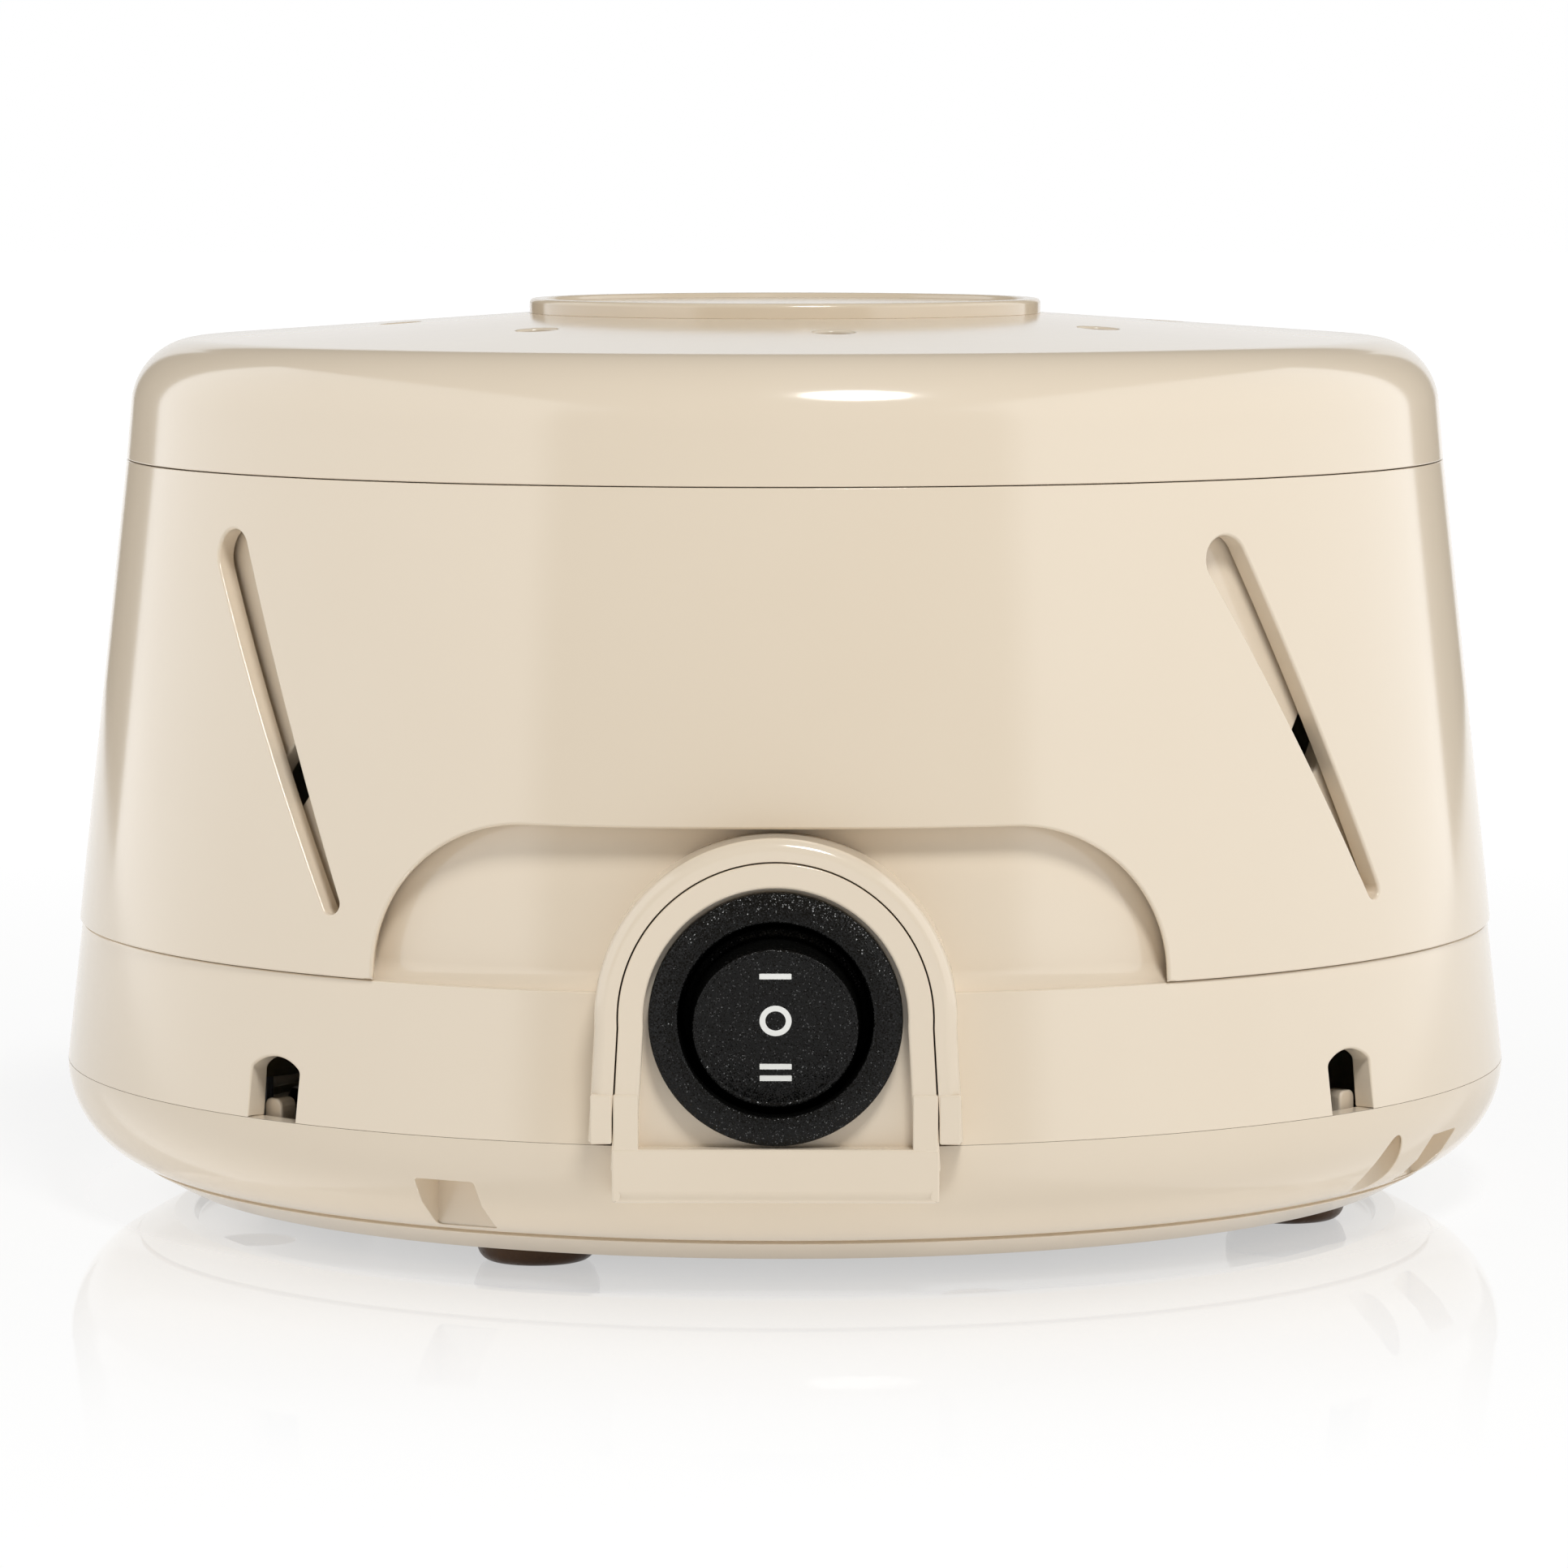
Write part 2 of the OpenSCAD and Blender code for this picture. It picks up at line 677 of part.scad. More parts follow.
module foot() {
    low_round = 0.8;
    color(RUBBER) rotate_extrude() polygon(concat(
        [[0, 0]],
        arc([foot_low_d / 2 - low_round, low_round], low_round, -90, -15, 4),
        [[foot_d / 2, foot_h], [foot_stem_r, foot_h], [foot_stem_r, floor_top_z + push_fit]],
        [[foot_barb_r, floor_top_z + push_fit], [foot_stem_r, floor_top_z + push_fit + foot_barb_h]],
        [[0, floor_top_z + push_fit + foot_barb_h]]
    ));
}

module foot_at(quarter) {
    at_angle(foot_angle + quarter, foot_ring_r) foot();
}

// Pan-headed screw with its head down at the origin and its shank up
module screw(head_r, head_h, shank_r, shank_l) {
    recess_d = shank_r;
    difference() {
        union() {
            translate([0, 0, -head_h]) cylinder(r1 = head_r * 0.8, r2 = head_r, h = head_h * 0.4);
            translate([0, 0, -head_h * 0.6]) cylinder(r = head_r, h = head_h * 0.6);
            cylinder(r = shank_r, h = shank_l);
        }
        for (a = [0, 90]) rotate([0, 0, a])
            translate([-recess_d, -recess_d / 5, -head_h - OVER])
                cube([2 * recess_d, recess_d / 2.5, OVER + head_h / 2]);
    }
}

module housing_screws() {
    color(ZINC) for (a = QUARTERS) at_angle(screw_angle + a, screw_ring_r)
        translate([0, 0, screw_seat_z])
            screw(screw_head_r, screw_head_h, screw_r, seam_z - screw_seat_z + screw_grip);
}

module switch_body() {
    bezel_face_y = arch_y + pocket_depth - bezel_h;
    flange_y = arch_y + pocket_depth;
    hole_r = bezel_hole_d / 2;
    rear_r = switch_neck_r - 0.5;
    tab_y = plate_back_y + push_fit;
    tab_w = 6;
    tab_l = 3.2;
    tab_out = 0.9;
    color(BLACK) difference() {
        union() {
            translate([0, 0, switch_z]) rotate([90, 0, 0]) rotate_extrude() polygon([
                [hole_r - 1, -switch_end_y], [rear_r, -switch_end_y], [rear_r, -plate_back_y - 3],
                [switch_neck_r, -plate_back_y - 2.5], [switch_neck_r, -flange_y], [bezel_r, -flange_y],
                [bezel_r, -flange_y + bezel_h * 0.4], [bezel_r - 0.9, -bezel_face_y],
                [hole_r + 0.5, -bezel_face_y], [hole_r, -bezel_face_y - 0.5], [hole_r, -switch_cavity_y],
                [0, -switch_cavity_y], [0, -switch_end_y]
            ]);
            for (side = [0, 1]) mirror([side, 0, 0])
                translate([switch_neck_r - 0.2, tab_y, switch_z - tab_w / 2])
                    linear_extrude(tab_w) polygon([[0, 0], [tab_out, 0], [0, tab_l]]);
        }
        translate([-FAR / 2, rocker_pivot_y, switch_z]) rotate([0, 90, 0])
            cylinder(r = rocker_pin_r + run_fit, h = FAR);
    }
}

module switch_terminals() {
    color(BRASS) for (i = [-1:1]) {
        z = switch_z + i * terminal_pitch;
        difference() {
            translate([-terminal_w / 2, switch_end_y, z - terminal_t / 2])
                cube([terminal_w, terminal_l, terminal_t]);
            translate([0, switch_end_y + terminal_l - 2.2, z - OVER])
                cylinder(r = 0.8, h = 2 * OVER);
        }
    }
}

module rocker_button() {
    edge = 0.3;
    pin_end = bezel_hole_d / 2 + 0.6;
    skirt_r = bezel_hole_d / 2 - 0.45;
    color(BLACK) translate([0, rocker_pivot_y, switch_z]) rotate([rocker_tilt, 0, 0]) {
        rotate([90, 45, 0]) rotate_extrude() polygon([
            [0, -rocker_skirt], [skirt_r - edge, -rocker_skirt], [skirt_r, edge - rocker_skirt],
            [skirt_r, rocker_skirt - edge], [rocker_r + 0.2, rocker_skirt],
            [rocker_r, rocker_rise - edge], [rocker_r - edge, rocker_rise], [0, rocker_rise]
        ]);
        translate([-pin_end, 0, 0]) rotate([0, 90, 0]) cylinder(r = rocker_pin_r, h = 2 * pin_end);
    }
}

module tone_collar() {
    land = 0.5;
    lead = skin - land;
    edge = 0.3;
    outline = [
        [collar_r(collar_z) - land, collar_z], [collar_r(collar_z), collar_z + edge / 2],
        [collar_r(collar_top_z), collar_top_z - edge], [collar_r(collar_top_z) - edge, collar_top_z],
        [collar_r(collar_top_z) - skin, collar_top_z], [collar_r(collar_z + lead) - skin, collar_z + lead]
    ];
    corner_x = cutout_half_w - cutout_r;
    corner_z = cutout_top_z - cutout_r;
    color(BEIGE) rotate([0, 0, collar_angle]) difference() {
        revolve(outline);
        facing(-FAR / 2, -body_r / 2) polygon(concat(
            [[-cutout_half_w, collar_z - OVER], [cutout_half_w, collar_z - OVER]],
            arc([corner_x, corner_z], cutout_r, 0, 90),
            arc([-corner_x, corner_z], cutout_r, 90, 180)
        ));
        for (i = [0:slot_count - 1])
            rotate([0, 0, slot_angle - collar_angle + i * 360 / slot_count])
                facing(-FAR / 2, -body_r / 2) {
                    low_z = ledge_z + slot_low_z;
                    teardrop([-slot_run / 2, low_z + slot_rise], slot_top_w / 2,
                        [slot_run / 2, low_z], slot_low_w / 2);
                }
    }
}

module cap_shell() {
    edge = 0.3;
    well_low_z = well_floor_z - skin;
    under_z = cone_z(disc_r, skin);
    bore = post_r + run_fit;
    color(BEIGE) difference() {
        revolve(concat(
            [[cap_r - edge, cap_z], [cap_r, cap_z + edge]],
            shoulder(0, disc_r),
            [[well_r, seat_z], [well_r, well_floor_z], [bore, well_floor_z], [bore, well_low_z]],
            [[well_r + skin, well_low_z], [well_r + skin, under_z], [disc_r, under_z]],
            reversed(arc(shoulder_c, shoulder_r - skin, cap_side_draft, 90 - cap_slope)),
            [[cap_r - skin, cap_z]]
        ));
        for (i = [0:hole_count - 1]) at_angle(hole_angle + i * 360 / hole_count, hole_ring_r)
            translate([0, 0, well_low_z]) cylinder(r = hole_d / 2, h = FAR / 10);
    }
}

module top_disc() {
    edge = 0.25;
    top_z = seat_z + disc_h;
    face_r = disc_r - disc_rim;
    face_z = top_z - disc_recess;
    spigot_r = well_r - push_fit;
    color(BEIGE_DARK) revolve([
        [0, seat_z], [spigot_r - spigot_t, seat_z], [spigot_r - spigot_t, seat_z - spigot_h],
        [spigot_r, seat_z - spigot_h], [spigot_r, seat_z], [disc_r - edge, seat_z],
        [disc_r, seat_z + edge], [disc_r, top_z - edge], [disc_r - edge, top_z],
        [face_r, top_z], [face_r - edge, face_z], [0, face_z]
    ]);
}

module pivot_washer() {
    color(STEEL) translate([0, 0, post_top_z]) tube(washer_r, pilot_r, washer_t);
}

module pivot_screw() {
    color(ZINC) translate([0, 0, post_top_z + washer_t]) mirror([0, 0, 1])
        screw(pivot_head_r, pivot_head_h, pivot_shank_r, pivot_shank_l);
}

module motor_plate() {
    edge_x = mount_x + plate_edge;
    color(STEEL) difference() {
        translate([-edge_x, mount_front_y - plate_edge, motor_plate_z])
            cube([2 * edge_x, mount_rear_y - mount_front_y + 2 * plate_edge, plate_sheet]);
        translate([0, 0, motor_plate_z - OVER]) {
            intersection() {
                cylinder(r = plate_hole_r, h = FAR / 10);
                translate([-motor_screw_x + plate_land, -FAR / 2, 0])
                    cube([2 * (motor_screw_x - plate_land), FAR, FAR]);
            }
            translate([-plate_slot_half_w, bore_r + 2, 0]) cube([2 * plate_slot_half_w, FAR, FAR]);
            for (p = mounts) translate([p.x, p.y, 0]) cylinder(r = grommet_neck_r + push_fit, h = FAR / 10);
            for (x = [-motor_screw_x, motor_screw_x]) translate([x, 0, 0])
                cylinder(r = motor_screw_r + hole_fit, h = FAR / 10);
        }
    }
}

module grommet(p) {
    low_z = motor_plate_z - grommet_low_h;
    top_z = motor_plate_z + plate_sheet;
    color(RUBBER) translate([p.x, p.y, 0]) revolve([
        [grommet_bore_r, low_z], [grommet_r - 0.6, low_z], [grommet_r, low_z + 0.6],
        [grommet_r, motor_plate_z - 0.02], [grommet_neck_r, motor_plate_z - 0.02],
        [grommet_neck_r, top_z + 0.02], [grommet_r, top_z + 0.02], [grommet_r, top_z + grommet_top_h - 0.6],
        [grommet_r - 0.6, top_z + grommet_top_h], [grommet_bore_r, top_z + grommet_top_h]
    ]);
}

module plate_screws() {
    color(ZINC) for (p = mounts)
        translate([p.x, p.y, motor_plate_z + plate_sheet + grommet_top_h]) mirror([0, 0, 1])
            screw(screw_head_r + 1, screw_head_h, screw_r, plate_screw_l);
}

// Where a shading ring passes through the stack, round one side of a pole
module shading_leg(size, h) {
    for (a = ring_leg_angles) rotate([0, 0, a]) translate([ring_leg_r - size / 2, -size / 2, 0])
        cube([size, size, h]);
}

module stator_core() {
    half_w = lam_w / 2;
    color(STEEL) difference() {
        translate([-half_w, -lam_front, stack_z]) cube([lam_w, lam_front + bar_y + bar_w, stack_h]);
        translate([-lam_inner_x, bore_r + 2, stack_z - OVER])
            cube([2 * lam_inner_x, FAR, stack_h + 2 * OVER]);
        translate([0, 0, stack_z - OVER]) {
            cylinder(r = bore_r, h = stack_h + 2 * OVER);
            for (x = [-motor_screw_x, motor_screw_x]) translate([x, 0, 0])
                cylinder(r = motor_screw_r + hole_fit, h = stack_h + 2 * OVER);
            for (a = [0, 180]) rotate([0, 0, a]) shading_leg(ring_wire + 2 * push_fit, stack_h + 2 * OVER);
        }
        for (side = [-1, 1]) translate([side * half_w, -lam_front, stack_z - OVER])
            rotate([0, 0, 45]) cube([6, 6, 4 * stack_h], center = true);
    }
}

module core_bar() {
    color(STEEL) translate([-lam_inner_x, bar_y, stack_z]) cube([2 * lam_inner_x, bar_w, stack_h]);
}

module shading_rings() {
    bridge = 2 * ring_leg_r * sin((ring_leg_angles[1] - ring_leg_angles[0]) / 2);
    mid = (ring_leg_angles[0] + ring_leg_angles[1]) / 2;
    bridge_r = ring_leg_r * cos((ring_leg_angles[1] - ring_leg_angles[0]) / 2);
    color(COPPER) for (a = [0, 180]) rotate([0, 0, a]) {
        translate([0, 0, stack_z - ring_wire]) shading_leg(ring_wire, stack_h + 2 * ring_wire);
        for (z = [stack_z - ring_wire, stack_top_z]) rotate([0, 0, mid])
            translate([bridge_r - ring_wire / 2, -bridge / 2, z]) cube([ring_wire, bridge, ring_wire]);
    }
}

// Outline of the coil and its bobbin across the bar, grown by a distance
module coil_outline(grow, corner) {
    x0 = bar_y - grow;
    x1 = bar_y + bar_w + grow;
    z0 = stack_z - grow;
    z1 = stack_top_z + grow;
    translate([x0 + corner, z0]) square([x1 - x0 - 2 * corner, z1 - z0]);
    translate([x0, z0 + corner]) square([x1 - x0, z1 - z0 - 2 * corner]);
    for (x = [x0 + corner, x1 - corner], z = [z0 + corner, z1 - corner])
        translate([x, z]) circle(r = corner);
}

// Extrudes an outline in y and z along x, centred
module along_x(length) {
    rotate([90, 0, 90]) translate([0, 0, -length / 2]) linear_extrude(length) children();
}

module coil_bobbin() {
    flange = coil_build + 1;
    color(NYLON) difference() {
        union() {
            along_x(2 * bobbin_half_l) coil_outline(bobbin_room + bobbin_t, 0.8);
            for (side = [-1, 1]) translate([side * (bobbin_half_l - bobbin_t / 2), 0, 0])
                along_x(bobbin_t) coil_outline(flange, coil_corner_r);
        }
        along_x(2 * bobbin_half_l + 2 * OVER) coil_outline(bobbin_room, 0.1);
    }
}

module coil_winding() {
    length = 2 * (bobbin_half_l - bobbin_t) - push_fit;
    color(COPPER) difference() {
        along_x(length) coil_outline(coil_build, coil_corner_r);
        along_x(length + 2 * OVER) coil_outline(bobbin_room + bobbin_t + push_fit / 2, 0.8);
    }
}

// Bearing bracket in its own frame: it stands on z = 0 and bridges the rotor
module bracket(hub_low, hub_high, bush_from_lip) {
    foot_x = lam_w / 2 - 1;
    knee_x = motor_screw_x - motor_screw_head_r - 1.1;
    arch_x = knee_x - 4;
    top = bracket_rise + bracket_t;
    difference() {
        union() {
            rotate([90, 0, 0]) translate([0, 0, -bracket_w / 2]) linear_extrude(bracket_w) polygon([
                [-foot_x, 0], [-knee_x, 0], [-arch_x, bracket_rise], [arch_x, bracket_rise],
                [knee_x, 0], [foot_x, 0], [foot_x, bracket_t], [knee_x + 0.8, bracket_t],
                [arch_x + 0.8, top], [-arch_x - 0.8, top], [-knee_x - 0.8, bracket_t],
                [-foot_x, bracket_t]
            ]);
            translate([0, 0, hub_low]) cylinder(r = bush_r + hub_wall, h = hub_high - hub_low);
        }
        translate([0, 0, bush_from_lip]) cylinder(r = bush_r + push_fit / 2, h = bush_l);
        translate([0, 0, -OVER]) cylinder(r = bush_r + push_fit / 2, h = bush_from_lip + OVER);
        translate([0, 0, -OVER]) cylinder(r = shaft_r + 1, h = hub_high + 2 * OVER);
        for (x = [-motor_screw_x, motor_screw_x]) translate([x, 0, -OVER])
            cylinder(r = motor_screw_r + hole_fit, h = bracket_t + 2 * OVER);
    }
}

module upper_bracket() {
    color(ZINC) translate([0, 0, stack_top_z])
        bracket(bracket_rise, upper_bush_local + bush_l + hub_lip, upper_bush_local);
}

module lower_bracket() {
    color(ZINC) translate([0, 0, motor_plate_z]) mirror([0, 0, 1])
        bracket(bracket_rise - 1, lower_bush_local + bush_l + hub_lip, lower_bush_local);
}

module bush(z) {
    color(BRONZE) translate([0, 0, z]) tube(bush_r, shaft_r + run_fit, bush_l);
}

module motor_screws() {
    color(ZINC) for (x = [-motor_screw_x, motor_screw_x])
        translate([x, 0, stack_top_z + bracket_t]) mirror([0, 0, 1])
            screw(motor_screw_head_r, screw_head_h, motor_screw_r,
                stack_h + plate_sheet + 2 * bracket_t + nut_h + motor_screw_tip);
}

module motor_nuts() {
    color(ZINC) for (x = [-motor_screw_x, motor_screw_x])
        translate([x, 0, motor_plate_z - bracket_t - nut_h]) difference() {
            cylinder(r = nut_r, h = nut_h, $fn = 6);
            translate([0, 0, -OVER]) cylinder(r = motor_screw_r + push_fit / 2, h = nut_h + 2 * OVER);
        }
}

module rotor_core() {
    core_bore = shaft_r + push_fit / 5;
    color(STEEL) difference() {
        union() {
            translate([0, 0, stack_z]) cylinder(r = rotor_r, h = stack_h);
            translate([0, 0, stack_z - end_ring_h]) tube(end_ring_r, end_ring_r - 4, end_ring_h);
            translate([0, 0, stack_top_z]) tube(end_ring_r, end_ring_r - 4, end_ring_h);
            translate([0, 0, rotor_sleeve_low_z])
                cylinder(r = sleeve_r, h = rotor_sleeve_top_z - rotor_sleeve_low_z);
        }
        translate([0, 0, rotor_sleeve_low_z - OVER])
            cylinder(r = core_bore, h = rotor_sleeve_top_z - rotor_sleeve_low_z + 2 * OVER);
    }
}

module thrust_washers() {
    color(NYLON) for (z = [rotor_sleeve_low_z - washer_sheet, rotor_sleeve_top_z])
        translate([0, 0, z]) tube(bush_r - 0.4, shaft_r + push_fit / 2, washer_sheet);
}

module motor_shaft() {
    color(STEEL) translate([0, 0, shaft_low_z]) {
        cylinder(r = shaft_r, h = shaft_top_z - shaft_low_z - 0.4);
        translate([0, 0, shaft_top_z - shaft_low_z - 0.4])
            cylinder(r1 = shaft_r, r2 = shaft_r - 0.4, h = 0.4);
    }
}

// One curved blade, from the hub to the rim of the fan
module blade_outline() {
    intersection() {
        difference() {
            translate([blade_curve_r * cos(35), -blade_curve_r * sin(35)]) circle(r = blade_curve_r);
            translate([blade_curve_r * cos(35), -blade_curve_r * sin(35)])
                circle(r = blade_curve_r - blade_t);
        }
        difference() {
            circle(r = fan_r - 0.5);
            circle(r = blade_in_r);
        }
        square(FAR);
    }
}

module fan_wheel() {
    color(NYLON) difference() {
        union() {
            translate([0, 0, fan_z]) cylinder(r = fan_r, h = fan_floor_t);
            translate([0, 0, fan_z]) tube(fan_r, fan_r - blade_t, fan_floor_t + 1.6);
            translate([0, 0, fan_z - fan_hub_drop]) cylinder(r = fan_hub_r, h = fan_hub_h + fan_hub_drop);
            for (a = fan_blade_angles) rotate([0, 0, a])
                translate([0, 0, fan_z + fan_floor_t / 2]) linear_extrude(blade_h) blade_outline();
        }
        translate([0, 0, fan_z - fan_hub_drop - OVER])
            cylinder(r = shaft_r + push_fit / 5, h = fan_hub_h + fan_hub_drop + 2 * OVER);
    }
}

module fan_clip() {
    color(STEEL) translate([0, 0, fan_hub_top_z]) tube(clip_r, shaft_r + push_fit / 5, clip_t);
}

module cord_inlet() {
    flange_r = inlet_flange_d / 2;
    gland_r = inlet_d / 2 + 1.6;
    end_y = inlet_pad_y + inlet_gland_t;
    color(BLACK) translate([0, 0, inlet_z]) rotate([-90, 0, 0]) revolve([
        [inlet_d / 2, inlet_nut_y], [inlet_body_r - 0.8, inlet_nut_y], [inlet_body_r, inlet_nut_y + 1.2],
        [inlet_body_r, inlet_pad_y], [flange_r, inlet_pad_y],
        [flange_r - 0.7, inlet_pad_y + inlet_flange_t], [gland_r, inlet_pad_y + inlet_flange_t],
        [gland_r - 0.3, end_y], [inlet_d / 2 + 0.5, end_y], [inlet_d / 2, end_y - 0.5]
    ]);
}

// Round-cornered insulated wire through a list of points
module wire(points, r) {
    for (i = [0:len(points) - 2]) {
        d = points[i + 1] - points[i];
        translate(points[i]) rotate([0, acos(d.z / norm(d)), atan2(d.y, d.x)])
            cylinder(r = r, h = norm(d), $fn = 16);
    }
    for (i = [1:len(points) - 2]) translate(points[i]) sphere(r = r + 0.15, $fn = 16);
}

module lead_wires() {
    wire_r = wire_d / 2;
    start_y = switch_end_y + terminal_l + 0.05;
    coil_x = bobbin_half_l - bobbin_t / 2;
    coil_y = bar_y + bar_w / 2;
    rest_z = stack_top_z + coil_build + wire_lift + wire_r + 0.1;
    color(BLACK) for (side = [0, 1]) {
        z = switch_z + side * terminal_pitch;
        x = 2 * side - 1;
        wire([
            [0, start_y, z], [0, start_y + wire_lead_y, z], [-x * wire_knee_x, wire_knee_y, wire_knee_z],
            [-x * wire_side_x, 0, rest_z + wire_lift],
            [-x * coil_x, coil_y - wire_lead_y, rest_z + 1.2 * wire_lift], [-x * coil_x, coil_y, rest_z]
        ], wire_r);
    }
}

bottom_pan();
main_housing();
foot_at(0);  // foot_front_right
foot_at(90);  // foot_rear_right
foot_at(180);  // foot_rear_left
foot_at(270);  // foot_front_left
housing_screws();
switch_body();
switch_terminals();
rocker_button();
tone_collar();
cap_shell();
top_disc();
pivot_screw();
pivot_washer();
motor_plate();
grommet(mounts[0]);  // grommet_front_right
grommet(mounts[1]);  // grommet_rear_right
grommet(mounts[2]);  // grommet_rear_left
grommet(mounts[3]);  // grommet_front_left
plate_screws();
stator_core();
core_bar();
shading_rings();
coil_bobbin();
coil_winding();
upper_bracket();
lower_bracket();
bush(upper_bush_z);  // upper_bush
bush(lower_bush_top_z - bush_l);  // lower_bush
motor_screws();
motor_nuts();
rotor_core();
thrust_washers();
motor_shaft();
fan_wheel();
fan_clip();
cord_inlet();
lead_wires();
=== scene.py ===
"""Visual model of a fan-driven white noise machine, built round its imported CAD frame.

Sizes are in millimetres in the frame of the CAD model: Z is up and the switch faces -Y. Angles
are in degrees, counted from -Y towards +X. A mesh turns to metres when it is built. A name that
ends in _r is a radius, _w a width, _h a height, _l a length, _t a thickness, and _y or _z a place.
"""

import logging
import math
from dataclasses import dataclass, field
from enum import Enum
from typing import Any, Sequence

import bpy
import numpy as np
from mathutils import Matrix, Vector
from mathutils.geometry import delaunay_2d_cdt


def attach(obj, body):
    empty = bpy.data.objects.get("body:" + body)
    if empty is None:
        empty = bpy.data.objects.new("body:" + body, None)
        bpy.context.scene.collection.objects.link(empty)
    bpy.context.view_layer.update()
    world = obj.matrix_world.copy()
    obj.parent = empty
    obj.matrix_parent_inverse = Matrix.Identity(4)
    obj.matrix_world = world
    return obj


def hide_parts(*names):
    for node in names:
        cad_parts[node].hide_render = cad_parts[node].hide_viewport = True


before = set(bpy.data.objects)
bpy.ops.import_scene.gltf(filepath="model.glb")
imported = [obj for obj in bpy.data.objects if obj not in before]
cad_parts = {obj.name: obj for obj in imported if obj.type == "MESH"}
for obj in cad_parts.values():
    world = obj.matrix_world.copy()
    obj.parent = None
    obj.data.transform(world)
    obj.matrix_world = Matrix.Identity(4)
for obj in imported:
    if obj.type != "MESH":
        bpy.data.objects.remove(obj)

log = logging.getLogger("noise_machine")

MM = 0.001
QUARTERS = (0, 90, 180, 270)
CORNERS = ("front_right", "rear_right", "rear_left", "front_left")
# Greatest distance between an arc and the straight steps that stand for it.
SAGITTA = 0.003

Node = tuple[np.ndarray, np.ndarray]
Place = tuple[float, float, float]
Span = tuple[float, float]


# ---------------------------------------------------------------- mesh tools


def unit(vector: Sequence[float]) -> np.ndarray:
    """A vector of length one in the direction of the given one."""
    array = np.asarray(vector, float)
    return array / np.linalg.norm(array)


def polar(radius: float, angle: float) -> tuple[float, float]:
    """Place in plan at a radius and an angle."""
    turn = math.radians(angle)
    return radius * math.sin(turn), -radius * math.cos(turn)


def twin(near: float, far: float) -> tuple[Span, Span]:
    """The same range on the left and on the right of the middle."""
    return (-far, -near), (near, far)


def link(name: str, data: Any) -> bpy.types.Object:
    """Makes an object of its data and links it to the scene.

    Args:
        name: Name of the object.
        data: Mesh, light or camera data that it shows.

    Returns:
        The object.
    """
    made = bpy.data.objects.new(name, data)
    bpy.context.scene.collection.objects.link(made)
    return made


def inside(points: np.ndarray, loop: np.ndarray) -> np.ndarray:
    """Tells which points lie inside a closed loop.

    Args:
        points: Points in the plane, one per row.
        loop: Corners of the loop in order.

    Returns:
        One truth value per point.
    """
    x, y = points[:, 0][:, None], points[:, 1][:, None]
    x0, y0 = loop[:, 0], loop[:, 1]
    x1, y1 = np.roll(x0, -1), np.roll(y0, -1)
    rise = np.where(y1 == y0, 1e-12, y1 - y0)
    crosses = ((y0 > y) != (y1 > y)) & (x < (x1 - x0) * (y - y0) / rise + x0)
    return crosses.sum(1) % 2 == 1


def mosaic(loops: Sequence[np.ndarray], loose: np.ndarray) -> list[tuple[int, int, int]]:
    """Fills the area between loops with triangles.

    Args:
        loops: Closed loops; the area inside an odd number of them is filled.
        loose: Further points that the triangles use.

    Returns:
        Triangles as indices into the points of all loops, followed by the loose points.
    """
    points = np.concatenate([*loops, loose]) if len(loose) else np.concatenate(loops)
    edges, first = [], 0
    for loop in loops:
        count = len(loop)
        edges += [(first + i, first + (i + 1) % count) for i in range(count)]
        first += count
    flat = [Vector(p) for p in points]
    made, _, faces, source, _, _ = delaunay_2d_cdt(flat, edges, [], 0, 1e-6)
    centres = np.array([sum((made[i] for i in face), Vector((0, 0))) / 3 for face in faces])
    kept = sum(inside(centres, loop).astype(int) for loop in loops) % 2 == 1
    return [
        tuple(source[i][0] for i in face)
        for face, keep in zip(faces, kept)
        if keep and all(source[i] for i in face)
    ]


